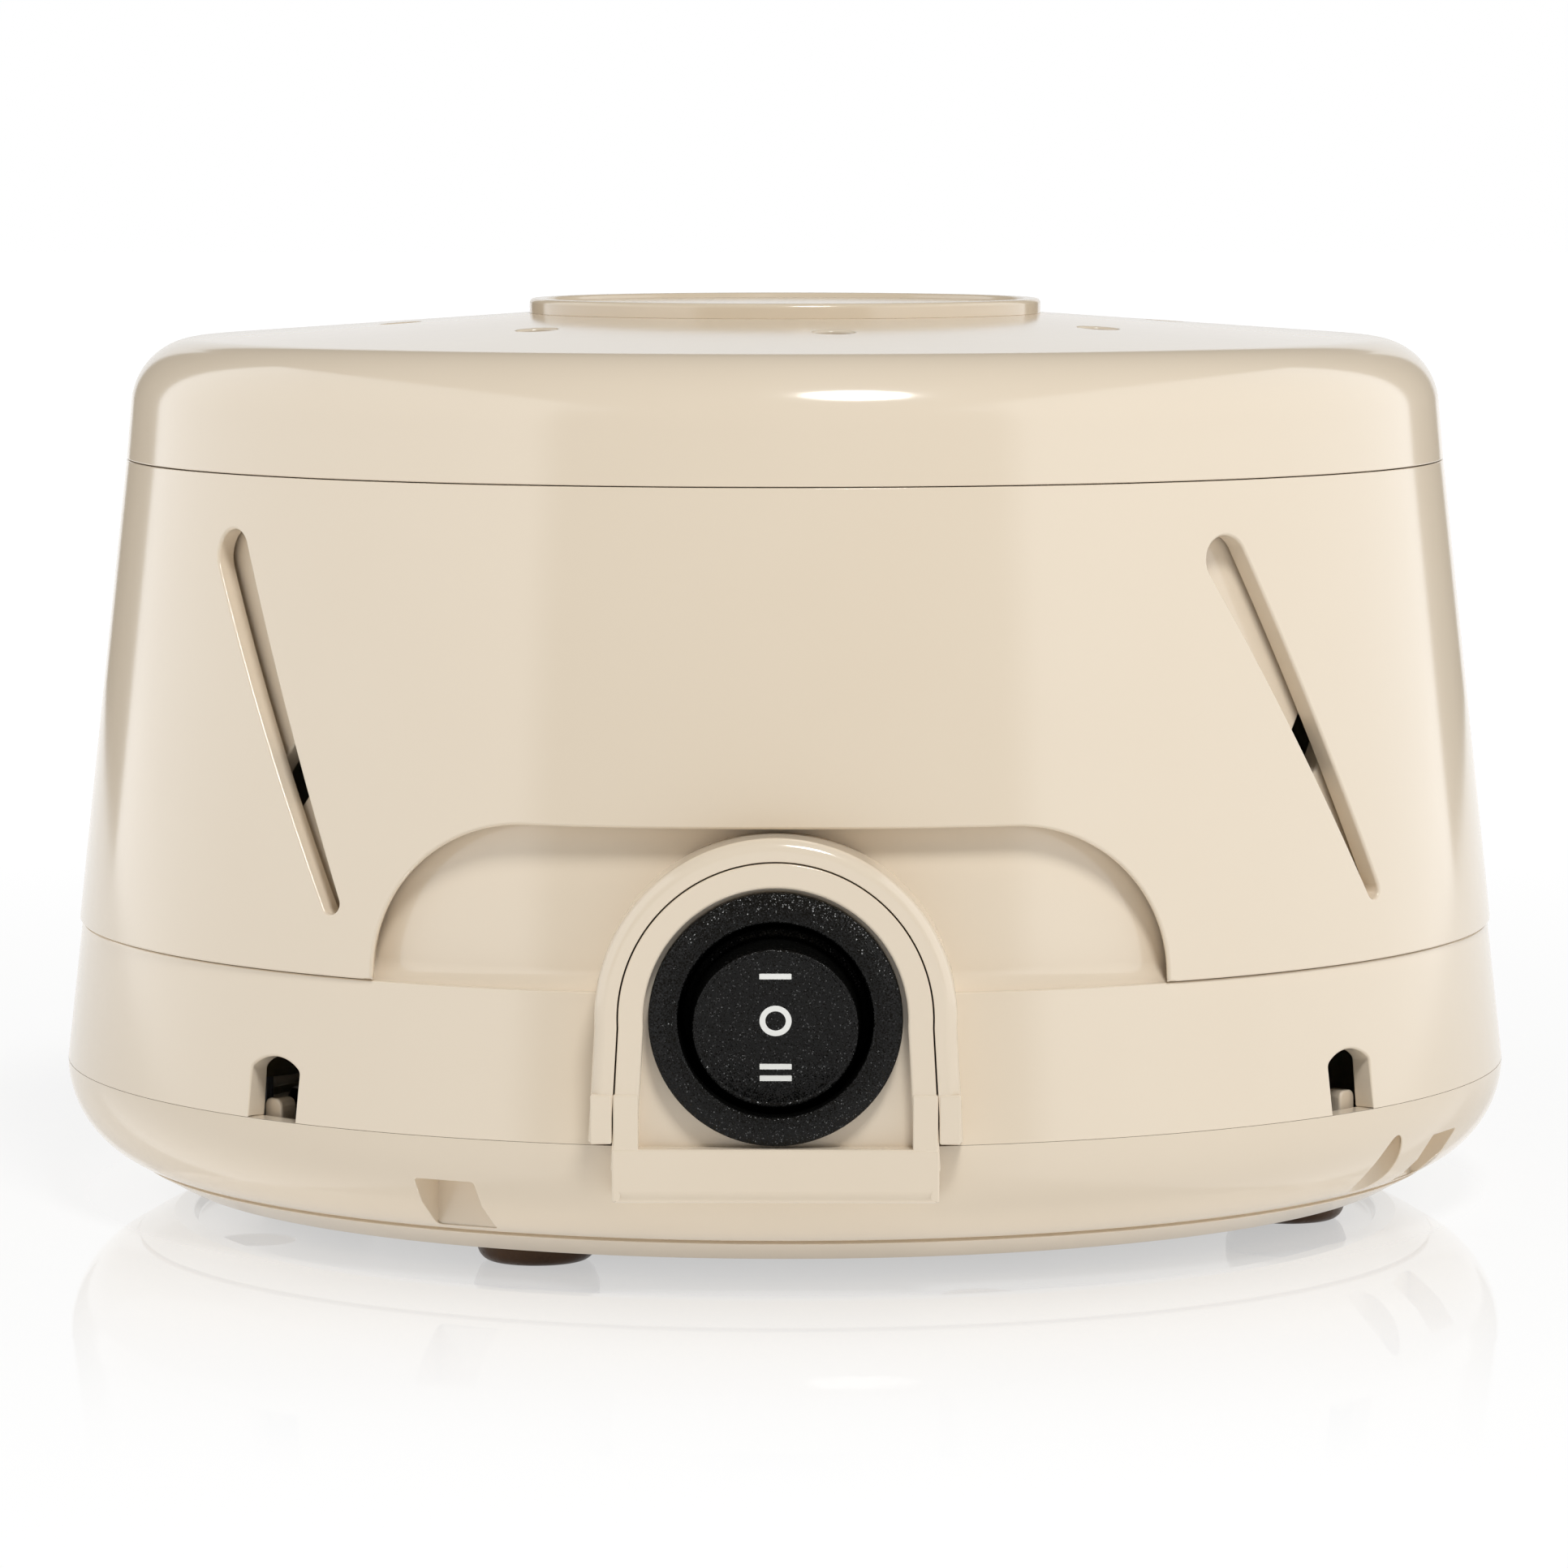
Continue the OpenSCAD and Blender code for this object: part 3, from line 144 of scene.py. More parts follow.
class MeshDraft:
    """Points, normals and faces of one piece, welded where its parts share a point."""

    # Steps per millimetre of the grid on which points count as one.
    GRID = 2000
    # Least cosine between normals that are welded.
    SAME_WAY = 0.9

    def __init__(self) -> None:
        """Starts an empty draft."""
        self.points: list[np.ndarray] = []
        self.normals: list[np.ndarray] = []
        self.faces: list[tuple[int, ...]] = []
        self.keys: list[tuple[int, ...]] = []
        self.known: dict[tuple[int, ...], list[int]] = {}

    def vertex(self, point: np.ndarray, normal: np.ndarray) -> int:
        """Finds or adds a point with its normal.

        Args:
            point: Place in millimetres.
            normal: Normal at that place.

        Returns:
            Index of the point.
        """
        key = tuple(np.rint(point * self.GRID).astype(int).tolist())
        for index in self.known.get(key, ()):
            if self.normals[index] @ normal > self.SAME_WAY:
                return index
        self.points.append(point)
        self.normals.append(normal)
        self.keys.append(key)
        self.known.setdefault(key, []).append(len(self.points) - 1)
        return len(self.points) - 1

    def ring(self, corners: Sequence[int]) -> None:
        """Adds one face by the indices of its corners, less those that fall together.

        Args:
            corners: Indices of the corners in order.
        """
        kept = [i for k, i in enumerate(corners) if self.keys[i] != self.keys[corners[k - 1]]]
        if len(set(kept)) > 2:
            self.faces.append(tuple(kept))

    def face(self, nodes: Sequence[Node]) -> None:
        """Adds one face, turned so that its front agrees with its normals.

        Args:
            nodes: Point and normal of each corner in order.
        """
        corners = [self.vertex(point, normal) for point, normal in nodes]
        places = np.array([self.points[i] for i in corners])
        spokes = places - places[0]
        area = np.cross(spokes[1:-1], spokes[2:]).sum(0)
        if area @ sum(self.normals[i] for i in corners) < 0:
            corners.reverse()
        self.ring(corners)

    def strip(self, one: Sequence[Node], other: Sequence[Node], closed: bool = True) -> None:
        """Joins two rings of equal count with a strip of faces.

        Args:
            one: Points and normals of the first ring.
            other: Points and normals of the second ring.
            closed: Whether the end of a ring joins its start.
        """
        for i in range(len(one) if closed else len(one) - 1):
            j = (i + 1) % len(one)
            self.face([one[i], one[j], other[j], other[i]])

    def lid(self, points: Sequence[np.ndarray], normal: Sequence[float]) -> None:
        """Closes a flat ring of points with one face."""
        facing = np.asarray(normal, float)
        self.face([(np.asarray(p, float), facing) for p in points])

    def add(self, other: "MeshDraft", matrix: np.ndarray, pivot: np.ndarray) -> None:
        """Adds another draft, turned about a pivot.

        Args:
            other: Draft whose faces are taken.
            matrix: Matrix of the turn.
            pivot: Point that stays in place.
        """
        for ring in other.faces:
            self.ring([
                self.vertex(matrix @ (other.points[i] - pivot) + pivot, matrix @ other.normals[i])
                for i in ring
            ])

    def build(self, name: str, finish: "Finish") -> bpy.types.Object:
        """Makes the object.

        Args:
            name: Name of the new object.
            finish: Finish of its whole surface.

        Returns:
            The object, linked to the scene.
        """
        used = sorted({i for ring in self.faces for i in ring})
        place = {old: new for new, old in enumerate(used)}
        mesh = bpy.data.meshes.new(name)
        faces = [tuple(place[i] for i in ring) for ring in self.faces]
        mesh.from_pydata([tuple(self.points[i] * MM) for i in used], [], faces)
        mesh.polygons.foreach_set("use_smooth", [True] * len(mesh.polygons))
        mesh.normals_split_custom_set_from_vertices([tuple(self.normals[i]) for i in used])
        mesh.materials.append(finish.material())
        return link(name, mesh)


class Profile:
    """Cross-section of straight runs joined by fillets, walked with its outside on the right.

    A closed walk starts half way between its first two corners. It has one row per sample.
    """

    # Greatest distance between samples of a straight run.
    RUN = 3.0

    def __init__(self, corners: Sequence[Place], closed: bool = True) -> None:
        """Walks the corners.

        Args:
            corners: Radius, height and fillet radius of each corner.
            closed: Whether the last corner runs back to the first.
        """
        spots = [np.array(c[:2], float) for c in corners]
        count = len(spots)
        bends: list[list[Node]] = []
        for i, (spot, corner) in enumerate(zip(spots, corners)):
            before = unit(spot - spots[i - 1]) if closed or i else unit(spots[1] - spots[0])
            after = unit(spots[(i + 1) % count] - spot) if closed or i < count - 1 else before
            bends.append(self._bend(spot, before, after, corner[2]))
        order = list(range(1, count)) + [0] if closed else list(range(count))
        rows: list[Node] = []
        marks: dict[int, tuple[int, int]] = {}
        if closed:
            start = (bends[0][-1][0] + bends[1][0][0]) / 2
            rows.append((start, bends[1][0][1]))
        for i in order:
            if rows:
                rows += self._between(rows[-1], bends[i][0])
            marks[i] = (len(rows), len(rows) + len(bends[i]) - 1)
            rows += bends[i]
        if closed:
            rows += self._between(rows[-1], rows[0])
            rows.append(rows[0])
        places = np.array([row[0] for row in rows])
        steps = np.linalg.norm(np.diff(places, axis=0), axis=1)
        self.walk = np.concatenate([[0], np.cumsum(steps)])
        self.table = np.column_stack([places, np.array([row[1] for row in rows])])
        self.marks = marks
        self.count = count

    def _bend(self, spot: np.ndarray, before: np.ndarray, after: np.ndarray, radius: float) -> list[Node]:
        """Samples of the fillet at one corner.

        Args:
            spot: Place of the corner.
            before: Direction of the run that ends there.
            after: Direction of the run that starts there.
            radius: Radius of the fillet.

        Returns:
            Points with their normals.
        """
        turn = math.atan2(before[0] * after[1] - before[1] * after[0], float(before @ after))
        normal = np.array([before[1], -before[0]])
        if abs(turn) < 1e-4 or radius == 0:
            return [(spot, normal)]
        side = math.copysign(1, turn)
        start = spot - before * radius * math.tan(abs(turn) / 2)
        centre = start - side * radius * normal
        limit = 2 * math.acos(max(0.9, 1 - SAGITTA / radius))
        steps = max(2, math.ceil(abs(turn) / limit))
        samples = []
        for k in range(steps + 1):
            angle = turn * k / steps
            cos, sin = math.cos(angle), math.sin(angle)
            facing = np.array([cos * normal[0] - sin * normal[1], sin * normal[0] + cos * normal[1]])
            samples.append((centre + side * radius * facing, facing))
        return samples

    def _between(self, start: Node, end: Node) -> list[Node]:
        """Samples inside a straight run.

        Args:
            start: Sample at the start of the run.
            end: Sample at the end of the run.

        Returns:
            The samples between the two.
        """
        length = float(np.linalg.norm(end[0] - start[0]))
        steps = math.ceil(length / self.RUN)
        return [(start[0] + (end[0] - start[0]) * k / steps, start[1]) for k in range(1, steps)]

    def run(self, corner: int) -> Span:
        """Start and end, along the walk, of the straight run after a corner."""
        follower = (corner + 1) % self.count
        return self.walk[self.marks[corner][1]], self.walk[self.marks[follower][0]]

    def bend(self, corner: int) -> Span:
        """Start and end, along the walk, of the fillet at a corner."""
        low, high = self.marks[corner]
        return self.walk[low], self.walk[high]

    def at(self, s: "float | np.ndarray") -> np.ndarray:
        """Radius, height and the two parts of the normal at places along the walk.

        Args:
            s: Places along the walk.

        Returns:
            Four rows, with one value per place.
        """
        r, z, nr, nz = (np.interp(s, self.walk, self.table[:, k]) for k in range(4))
        size = np.hypot(nr, nz)
        return np.array([r, z, nr / size, nz / size])

    def find(self, span: Span, column: int, value: "float | np.ndarray") -> Any:
        """Places within a span where the radius or height has a value.

        Args:
            span: Start and end of the stretch along the walk.
            column: 0 for a radius, 1 for a height.
            value: Radii or heights.

        Returns:
            Places along the walk.
        """
        low, high = span
        places = np.array([low, *self.walk[(self.walk > low) & (self.walk < high)], high])
        values = self.at(places)[column]
        order = np.argsort(values)
        return np.interp(value, values[order], places[order])


class Axis(Enum):
    """Direction in which the axis of a turned piece points."""

    UP = ((1, 0, 0), (0, 1, 0), (0, 0, 1))
    FRONT = ((1, 0, 0), (0, 0, -1), (0, 1, 0))
    BACK = ((1, 0, 0), (0, 0, 1), (0, -1, 0))


@dataclass
class Turned:
    """Surface of revolution. Its points are named by an angle and a place along the walk."""

    profile: Profile
    columns: int = 240
    axis: Axis = Axis.UP
    centre: Place = (0, 0, 0)

    def nodes(self, places: np.ndarray) -> tuple[np.ndarray, np.ndarray]:
        """Points and normals of places.

        Args:
            places: Angle and place along the walk, one pair per row.

        Returns:
            The points and the normals, one per row.
        """
        r, z, nr, nz = self.profile.at(places[:, 1])
        angle = np.radians(places[:, 0])
        sin, cos = np.sin(angle), np.cos(angle)
        axes = np.array(self.axis.value, float).T
        points = np.column_stack([r * sin, -r * cos, z]) @ axes + np.array(self.centre)
        return points, np.column_stack([nr * sin, -nr * cos, nz]) @ axes

    def at(self, angle: float, s: float) -> Node:
        """Point and normal of one place."""
        points, normals = self.nodes(np.array([[angle, s]]))
        return points[0], normals[0]

    def step(self, place: np.ndarray, shift: np.ndarray) -> np.ndarray:
        """Change of angle and walk for a small shift along the surface.

        Args:
            place: Angle and place along the walk.
            shift: The shift in millimetres.

        Returns:
            Change of the angle and of the place along the walk.
        """
        r, _, nr, nz = self.profile.at(place[1])
        sin, cos = math.sin(math.radians(place[0])), math.cos(math.radians(place[0]))
        round_way = np.array([cos, sin, 0])
        along = np.array([-nz * sin, nz * cos, nr])
        return np.array([math.degrees(shift @ round_way / r), shift @ along])

    def sideways(self, span: Span, turn: float, uz: np.ndarray) -> np.ndarray:
        """Places where an outline, pushed in level at an angle, meets a wall."""
        s = self.profile.find(span, 1, uz[:, 1])
        return np.column_stack([turn + np.degrees(np.arcsin(uz[:, 0] / self.profile.at(s)[0])), s])

    def upright(self, span: Span, xy: np.ndarray) -> np.ndarray:
        """Places where an outline, pushed in from above or below, meets a wall.

        Args:
            span: Start and end of the wall along the walk.
            xy: Points of the outline in plan.

        Returns:
            Angle and place along the walk, one pair per row.
        """
        x, y = xy.T
        middle = math.atan2(x.mean(), -y.mean())
        sin, cos = math.sin(middle), math.cos(middle)
        angle = middle + np.arctan2(x * cos + y * sin, x * sin - y * cos)
        return np.column_stack([np.degrees(angle), self.profile.find(span, 0, np.hypot(x, y))])

    def skin(self, draft: MeshDraft, holes: Sequence[np.ndarray] = ()) -> None:
        """Adds the surface to a draft.

        Args:
            draft: Draft that takes the faces.
            holes: Loops of places that bound the openings.
        """
        rows = self.profile.walk
        pitch = 360 / self.columns
        taken: set[tuple[int, int]] = set()
        for (c0, c1, r0, r1), loops in self._blocks(holes):
            taken |= {(c % self.columns, r) for c in range(c0, c1) for r in range(r0, r1)}
            border = (
                [(c, r0) for c in range(c0, c1)] + [(c1, r) for r in range(r0, r1)]
                + [(c, r1) for c in range(c1, c0, -1)] + [(c0, r) for r in range(r1, r0, -1)]
            )
            middle = [(c, r) for c in range(c0 + 1, c1) for r in range(r0 + 1, r1)]
            frame_loop, loose = (
                np.array([(c * pitch, rows[r]) for c, r in cells]).reshape(-1, 2)
                for cells in (border, middle)
            )
            outside = np.ones(len(loose), bool)
            for loop in loops:
                outside &= ~inside(loose, loop)
            places = np.concatenate([frame_loop, *loops, loose[outside]])
            scale = np.array([math.radians(np.mean([self.profile.at(rows[r])[0] for r in (r0, r1)])), 1])
            indices = [draft.vertex(p, n) for p, n in zip(*self.nodes(places))]
            for face in mosaic([frame_loop * scale] + [l * scale for l in loops], loose[outside] * scale):
                draft.ring([indices[i] for i in face])
        grid = np.array([(c * pitch, s) for c in range(self.columns) for s in rows])
        indices = [draft.vertex(p, n) for p, n in zip(*self.nodes(grid))]
        count = len(rows)
        for c in range(self.columns):
            here, there = c * count, (c + 1) % self.columns * count
            for r in range(count - 1):
                if (c, r) not in taken:
                    draft.ring([indices[i] for i in (here + r, there + r, there + r + 1, here + r + 1)])

    def piece(self, name: str, finish: "Finish") -> bpy.types.Object:
        """Makes an object of this surface alone.

        Args:
            name: Name of the object.
            finish: Finish of its whole surface.

        Returns:
            The object.
        """
        draft = MeshDraft()
        self.skin(draft)
        return draft.build(name, finish)

    def _blocks(self, holes: Sequence[np.ndarray]) -> list[tuple[tuple[int, ...], list[np.ndarray]]]:
        """Blocks of the grid that hold the holes, joined where they overlap.

        Args:
            holes: Loops of places that bound the openings.

        Returns:
            First and last column and row of each block, with its holes.
        """
        rows, pitch = self.profile.walk, 360 / self.columns
        blocks = []
        for hole in holes:
            (a0, s0), (a1, s1) = hole.min(0), hole.max(0)
            low = max(0, int(np.searchsorted(rows, s0 - 0.05)) - 1)
            high = min(len(rows) - 1, int(np.searchsorted(rows, s1 + 0.05)))
            blocks.append(((math.floor(a0 / pitch - 0.3), math.ceil(a1 / pitch + 0.3), low, high), [hole]))
        joined = True
        while joined:
            joined = False
            for i in range(len(blocks)):
                for j in range(i + 1, len(blocks)):
                    (a, one), (b, other) = blocks[i], blocks[j]
                    if a[0] < b[1] and b[0] < a[1] and a[2] < b[3] and b[2] < a[3]:
                        span = (min(a[0], b[0]), max(a[1], b[1]), min(a[2], b[2]), max(a[3], b[3]))
                        blocks = [x for k, x in enumerate(blocks) if k not in (i, j)] + [(span, one + other)]
                        joined = True
                        break
                if joined:
                    break
        return blocks


@dataclass
class Face:
    """Flat surface that looks to the front or to the back, named by x and z."""

    y: float
    facing: float = -1.0

    def at(self, x: float, z: float) -> Node:
        """Point and normal of a place."""
        return np.array([x, self.y, z]), np.array([0.0, self.facing, 0.0])

    def step(self, place: np.ndarray, shift: np.ndarray) -> np.ndarray:
        """Change of x and z for a small shift along the surface."""
        return np.array([shift[0], shift[2]])

    def skin(self, draft: MeshDraft, loops: Sequence[np.ndarray]) -> None:
        """Adds the area between loops to a draft.

        Args:
            draft: Draft that takes the faces.
            loops: Loops of x and z; the area inside an odd number of them is filled.
        """
        indices = [draft.vertex(*self.at(x, z)) for x, z in np.concatenate(loops)]
        for face in mosaic(loops, np.zeros((0, 2))):
            corners = [indices[i] for i in face]
            draft.ring(corners if self.facing < 0 else corners[::-1])


@dataclass
class Outline:
    """Row of points with the direction, in the plane, in which the outline looks outwards."""

    points: np.ndarray
    outward: np.ndarray

    # Greatest distance between points of a straight line, and greatest angle between those of an arc.
    SPACING = 2.4
    WIDEST_STEP = 12.0

    @classmethod
    def of(cls, bows: Sequence[tuple[float, float, float, float, float]], closed: bool = True) -> "Outline":
        """Joins arcs by straight lines.

        Args:
            bows: Centre, radius, start and end angle of each arc; a falling angle is a hollow.
            closed: Whether the last arc runs back to the first.

        Returns:
            The outline, in the order of the arcs.
        """
        points, outward = [], []
        for x, z, r, start, end in bows:
            limit = min(cls.WIDEST_STEP, math.degrees(2 * math.acos(max(0.9, 1 - SAGITTA / r))))
            steps = max(1, math.ceil(abs(end - start) / limit))
            for k in range(steps + 1):
                angle = math.radians(start + (end - start) * k / steps)
                way = np.array([math.cos(angle), math.sin(angle)])
                points.append(np.array([x, z]) + r * way)
                outward.append(way if end > start else -way)
        spread, looks = [], []
        for i, here in enumerate(points):
            spread.append(here)
            looks.append(outward[i])
            if i == len(points) - 1 and not closed:
                break
            there = points[(i + 1) % len(points)]
            steps = math.ceil(np.linalg.norm(there - here) / cls.SPACING)
            ahead = outward[(i + 1) % len(points)]
            for k in range(1, steps):
                spread.append(here + (there - here) * k / steps)
                looks.append(unit(outward[i] * (steps - k) + ahead * k))
        return cls(np.array(spread), np.array(looks))

    def level(self, turn: float = 0.0, sign: float = -1.0) -> np.ndarray:
        """Normals of walls pushed in level at an angle; sign -1 looks into the opening."""
        cos, sin = math.cos(math.radians(turn)), math.sin(math.radians(turn))
        return sign * np.array([(u * cos, u * sin, z) for u, z in self.outward])

    def upright(self) -> np.ndarray:
        """Normals of walls pushed in from above or below, which look into the opening."""
        return -np.array([(x, y, 0) for x, y in self.outward])


def circle(x: float, z: float, r: float) -> Outline:
    """Round outline."""
    whole = Outline.of([(x, z, r, 0, 360)])
    return Outline(whole.points[:-1], whole.outward[:-1])


def boxed(x0: float, z0: float, x1: float, z1: float, r: float) -> Outline:
    """Rectangle with round corners.

    Args:
        x0: Left edge.
        z0: Lower edge.
        x1: Right edge.
        z1: Upper edge.
        r: Radius of the corners.

    Returns:
        The outline.
    """
    return Outline.of([
        (x1 - r, z0 + r, r, -90, 0), (x1 - r, z1 - r, r, 0, 90),
        (x0 + r, z1 - r, r, 90, 180), (x0 + r, z0 + r, r, 180, 270),
    ])


def teardrop(top: Place, low: Place) -> Outline:
    """Slot with two round ends of different size.

    Args:
        top: Centre and radius of the upper end.
        low: Centre and radius of the lower end.

    Returns:
        The outline.
    """
    d = np.array(low[:2]) - np.array(top[:2])
    heading = math.degrees(math.atan2(d[1], d[0]))
    side = math.degrees(math.acos((top[2] - low[2]) / np.linalg.norm(d)))
    return Outline.of([(*top, heading + side, heading + 360 - side), (*low, heading - side, heading + side)])


def rim(
    draft: MeshDraft,
    surface: "Turned | Face",
    loop: np.ndarray,
    walls: np.ndarray,
    radius: "float | np.ndarray",
    steps: int = 3,
) -> tuple[np.ndarray, list[Node]]:
    """Rounds the edge between a surface and the walls that leave it.

    Args:
        draft: Draft that takes the faces.
        surface: Surface that the loop lies on.
        loop: Places of the sharp edge.
        walls: Normals of the walls at those places.
        radius: Radius of the rounding, one for all or one per place.
        steps: Number of faces across the rounding.

    Returns:
        The loop that is left on the surface, and the ring on the walls.
    """
    radii = np.broadcast_to(radius, (len(loop),))
    rings: list[list[Node]] = [[] for _ in range(steps + 1)]
    left = []
    for place, wall, size in zip(loop, walls, radii):
        point, normal = surface.at(*place)
        centre = point - size * (normal + wall) / (1 + normal @ wall)
        moved = place + surface.step(place, centre + size * normal - point)
        left.append(moved)
        whole = math.acos(max(-1.0, min(1.0, float(normal @ wall))))
        rings[0].append(surface.at(*moved))
        for i in range(1, steps + 1):
            t = i / steps
            facing = (math.sin((1 - t) * whole) * normal + math.sin(t * whole) * wall) / math.sin(whole)
            rings[i].append((centre + size * facing, facing))
    for one, other in zip(rings, rings[1:]):
        draft.strip(one, other)
    return np.array(left), rings[-1]


def through(
    draft: MeshDraft,
    surface: Turned,
    outer: np.ndarray,
    inner: np.ndarray,
    walls: np.ndarray,
    radius: float,
) -> list[np.ndarray]:
    """Opening through a shell, with rounded edges.

    Args:
        draft: Draft that takes the walls.
        surface: Surface of the shell.
        outer: Edge places on the outside.
        inner: Edge places on the inside.
        walls: Normals of the walls.
        radius: Radius of the outer edge; the inner edge has half of it.

    Returns:
        The two loops that the skin leaves open.
    """
    left_out, ring_out = rim(draft, surface, outer, walls, radius)
    left_in, ring_in = rim(draft, surface, inner, walls, radius / 2, 2)
    draft.strip(ring_out, ring_in)
    return [left_out, left_in]


def blind(
    draft: MeshDraft,
    surface: Turned,
    loop: np.ndarray,
    walls: np.ndarray,
    radius: float,
    way: np.ndarray,
    depth: float,
) -> list[np.ndarray]:
    """Pocket with a flat end.

    Args:
        draft: Draft that takes the walls.
        surface: Surface that the pocket opens in.
        loop: Edge places.
        walls: Normals of the walls.
        radius: Radius of the edge.
        way: Direction in which the pocket goes.
        depth: Place of its end along that direction.

    Returns:
        The loop that the skin leaves open.
    """
    left, ring = rim(draft, surface, loop, walls, radius)
    end = [(point + way * max(0.0, depth - float(point @ way)), facing) for point, facing in ring]
    draft.strip(ring, end)
    draft.lid([point for point, _ in end], -way)
    return [left]


def notch(
    draft: MeshDraft,
    surface: Turned,
    turn: float,
    edges: tuple[Outline, Outline],
    spans: tuple[Span, Span],
    radius: float,
    tip: float,
) -> list[np.ndarray]:
    """Opening that runs over the lower rim of a shell, with upright legs.

    Args:
        draft: Draft that takes the walls.
        surface: Surface of the shell.
        turn: Angle of the middle of the opening.
        edges: Open outlines for the outside and the inside, from left leg to right leg.
        spans: Walls on the outside and on the inside; the rim lies between them.
        radius: Radius of the rounded edges on the walls.
        tip: Radius of the rounded edges over the rim.

    Returns:
        The loop that the skin leaves open.
    """
    out, into = edges
    outer = surface.sideways(spans[0], turn, out.points)
    inner = surface.sideways(spans[1], turn, into.points)
    low_out, low_in = outer[0][1], inner[0][1]
    between = [s for s in surface.profile.walk if low_in + 1e-6 < s < low_out - 1e-6]
    half = [math.degrees(math.asin(out.points[-1][0] / surface.profile.at(s)[0])) for s in between]
    right, left = (
        np.array([(turn + side * a, s) for a, s in zip(half, between)]) for side in (1, -1)
    )
    across = np.array([math.cos(math.radians(turn)), math.sin(math.radians(turn)), 0])
    count, bare = len(outer), len(between)
    loop = np.concatenate([outer, right[::-1], inner[::-1], left])
    walls = np.concatenate([
        out.level(turn), np.tile(-across, (bare, 1)), into.level(turn)[::-1], np.tile(across, (bare, 1))
    ])
    radii = np.repeat([radius, tip, radius, tip], [count, bare, count, bare])
    radii[[0, count - 1, count + bare, 2 * count + bare - 1]] = tip
    left_loop, ring = rim(draft, surface, loop, walls, radii)
    ring_out, ring_right = ring[:count], ring[count:count + bare]
    ring_in, ring_left = ring[count + bare:2 * count + bare][::-1], ring[2 * count + bare:]
    draft.strip(ring_out, ring_in, closed=False)
    draft.lid([p for p, _ in [ring_out[-1], *ring_right, ring_in[-1]]], -across)
    draft.lid([p for p, _ in [ring_in[0], *ring_left, ring_out[0]]], across)
    return [left_loop]


def slab(
    draft: MeshDraft,
    outline: Outline,
    front: float,
    back: float,
    radius: "float | np.ndarray",
    pocket: "tuple[Outline, float] | None" = None,
    bore: "Outline | None" = None,
) -> None:
    """Plate that faces the front, with rounded front edges.

    Args:
        draft: Draft that takes the faces.
        outline: Outline of the plate in x and z.
        front: Depth of its front face.
        back: Depth of its back face.
        radius: Radius of the front edge, one for all or one per point.
        pocket: Outline and depth of the floor of a pocket in the front face.
        bore: Outline of a hole from the floor of the pocket to the back.
    """
    face = Face(front)
    walls = outline.level(sign=1.0)
    left, ring = rim(draft, face, outline.points, walls, radius, 5)
    loops = [left]
    if pocket:
        edge, floor = pocket
        hole, inner = rim(draft, face, edge.points, edge.level(), 0.3, 4)
        loops.append(hole)
        end = [(np.array([p[0], floor, p[2]]), n) for p, n in inner]
        draft.strip(inner, end)
        Face(floor).skin(draft, [np.array([(p[0], p[2]) for p, _ in end])] + ([bore.points] if bore else []))
    face.skin(draft, loops)
    rear_left, rear = rim(draft, Face(back, 1.0), outline.points, walls, 0.15, 2)
    Face(back, 1.0).skin(draft, [rear_left] + ([bore.points] if bore else []))
    draft.strip(ring, rear)
    if pocket and bore:
        near, far = (
            [(np.array([x, y, z]), n) for (x, z), n in zip(bore.points, bore.level())]
            for y in (pocket[1], back)
        )
        draft.strip(near, far)


# ---------------------------------------------------------------- finishes


def linear(code: str) -> tuple[float, float, float, float]:
    """Linear colour of an sRGB hex code."""
    parts = [int(code[i:i + 2], 16) / 255 for i in (1, 3, 5)]
    return (*[p / 12.92 if p <= 0.04045 else ((p + 0.055) / 1.055) ** 2.4 for p in parts], 1.0)


def add_node(
    tree: bpy.types.NodeTree, kind: str, inputs: dict[Any, Any] | None = None, **settings: Any
) -> Any:
    """Adds one shader node.

    Args:
        tree: Tree that takes the node.
        kind: Type of the node.
        inputs: Socket values, or output sockets to link from.
        settings: Properties of the node.

    Returns:
        The node.
    """
    node = tree.nodes.new(kind)
    for key, value in settings.items():
        setattr(node, key, value)
    for key, value in (inputs or {}).items():
        if isinstance(value, bpy.types.NodeSocket):
            tree.links.new(value, node.inputs[key])
        else:
            node.inputs[key].default_value = value
    return node


def blank_tree(owner: bpy.types.Material | bpy.types.World) -> bpy.types.NodeTree:
    """Node tree of a material or a world, cleared.

    Args:
        owner: Material or world that has the tree.

    Returns:
        The empty tree.
    """
    owner.use_nodes = True
    owner.node_tree.nodes.clear()
    return owner.node_tree


def seen_level(tree: bpy.types.NodeTree, lit: Any, seen: Any, mirrored: float = 1.0) -> bpy.types.NodeSocket:
    """Strength that lights the object at one level and is seen and mirrored at another.

    Args:
        tree: Tree that takes the nodes.
        lit: Strength, or a socket with it, for light that spreads.
        seen: Strength where the surface itself is seen, mirrored or looked at through something.
        mirrored: Share of the difference that mirrors show.

    Returns:
        Socket with the strength.
    """
    path = add_node(tree, "ShaderNodeLightPath").outputs
    glossy = add_node(tree, "ShaderNodeMath", {0: path["Is Glossy Ray"], 1: mirrored}, operation="MULTIPLY")
    shown = add_node(tree, "ShaderNodeMath", {
        0: path["Is Camera Ray"], 1: glossy.outputs["Value"]
    }, operation="MAXIMUM")
    shown = add_node(tree, "ShaderNodeMath", {
        0: shown.outputs["Value"], 1: path["Is Transmission Ray"]
    }, operation="MAXIMUM")
    level = add_node(tree, "ShaderNodeMapRange", {
        "Value": shown.outputs["Value"], "To Min": lit, "To Max": seen
    })
    return level.outputs["Result"]


class Grain(Enum):
    """Kind of fine relief that the surface of a material shows."""

    POLISHED = "NOISE"
    SPARK_ERODED = "VORONOI"
    GLITTER = "FACETS"
    ROLLED = "STRETCHED"


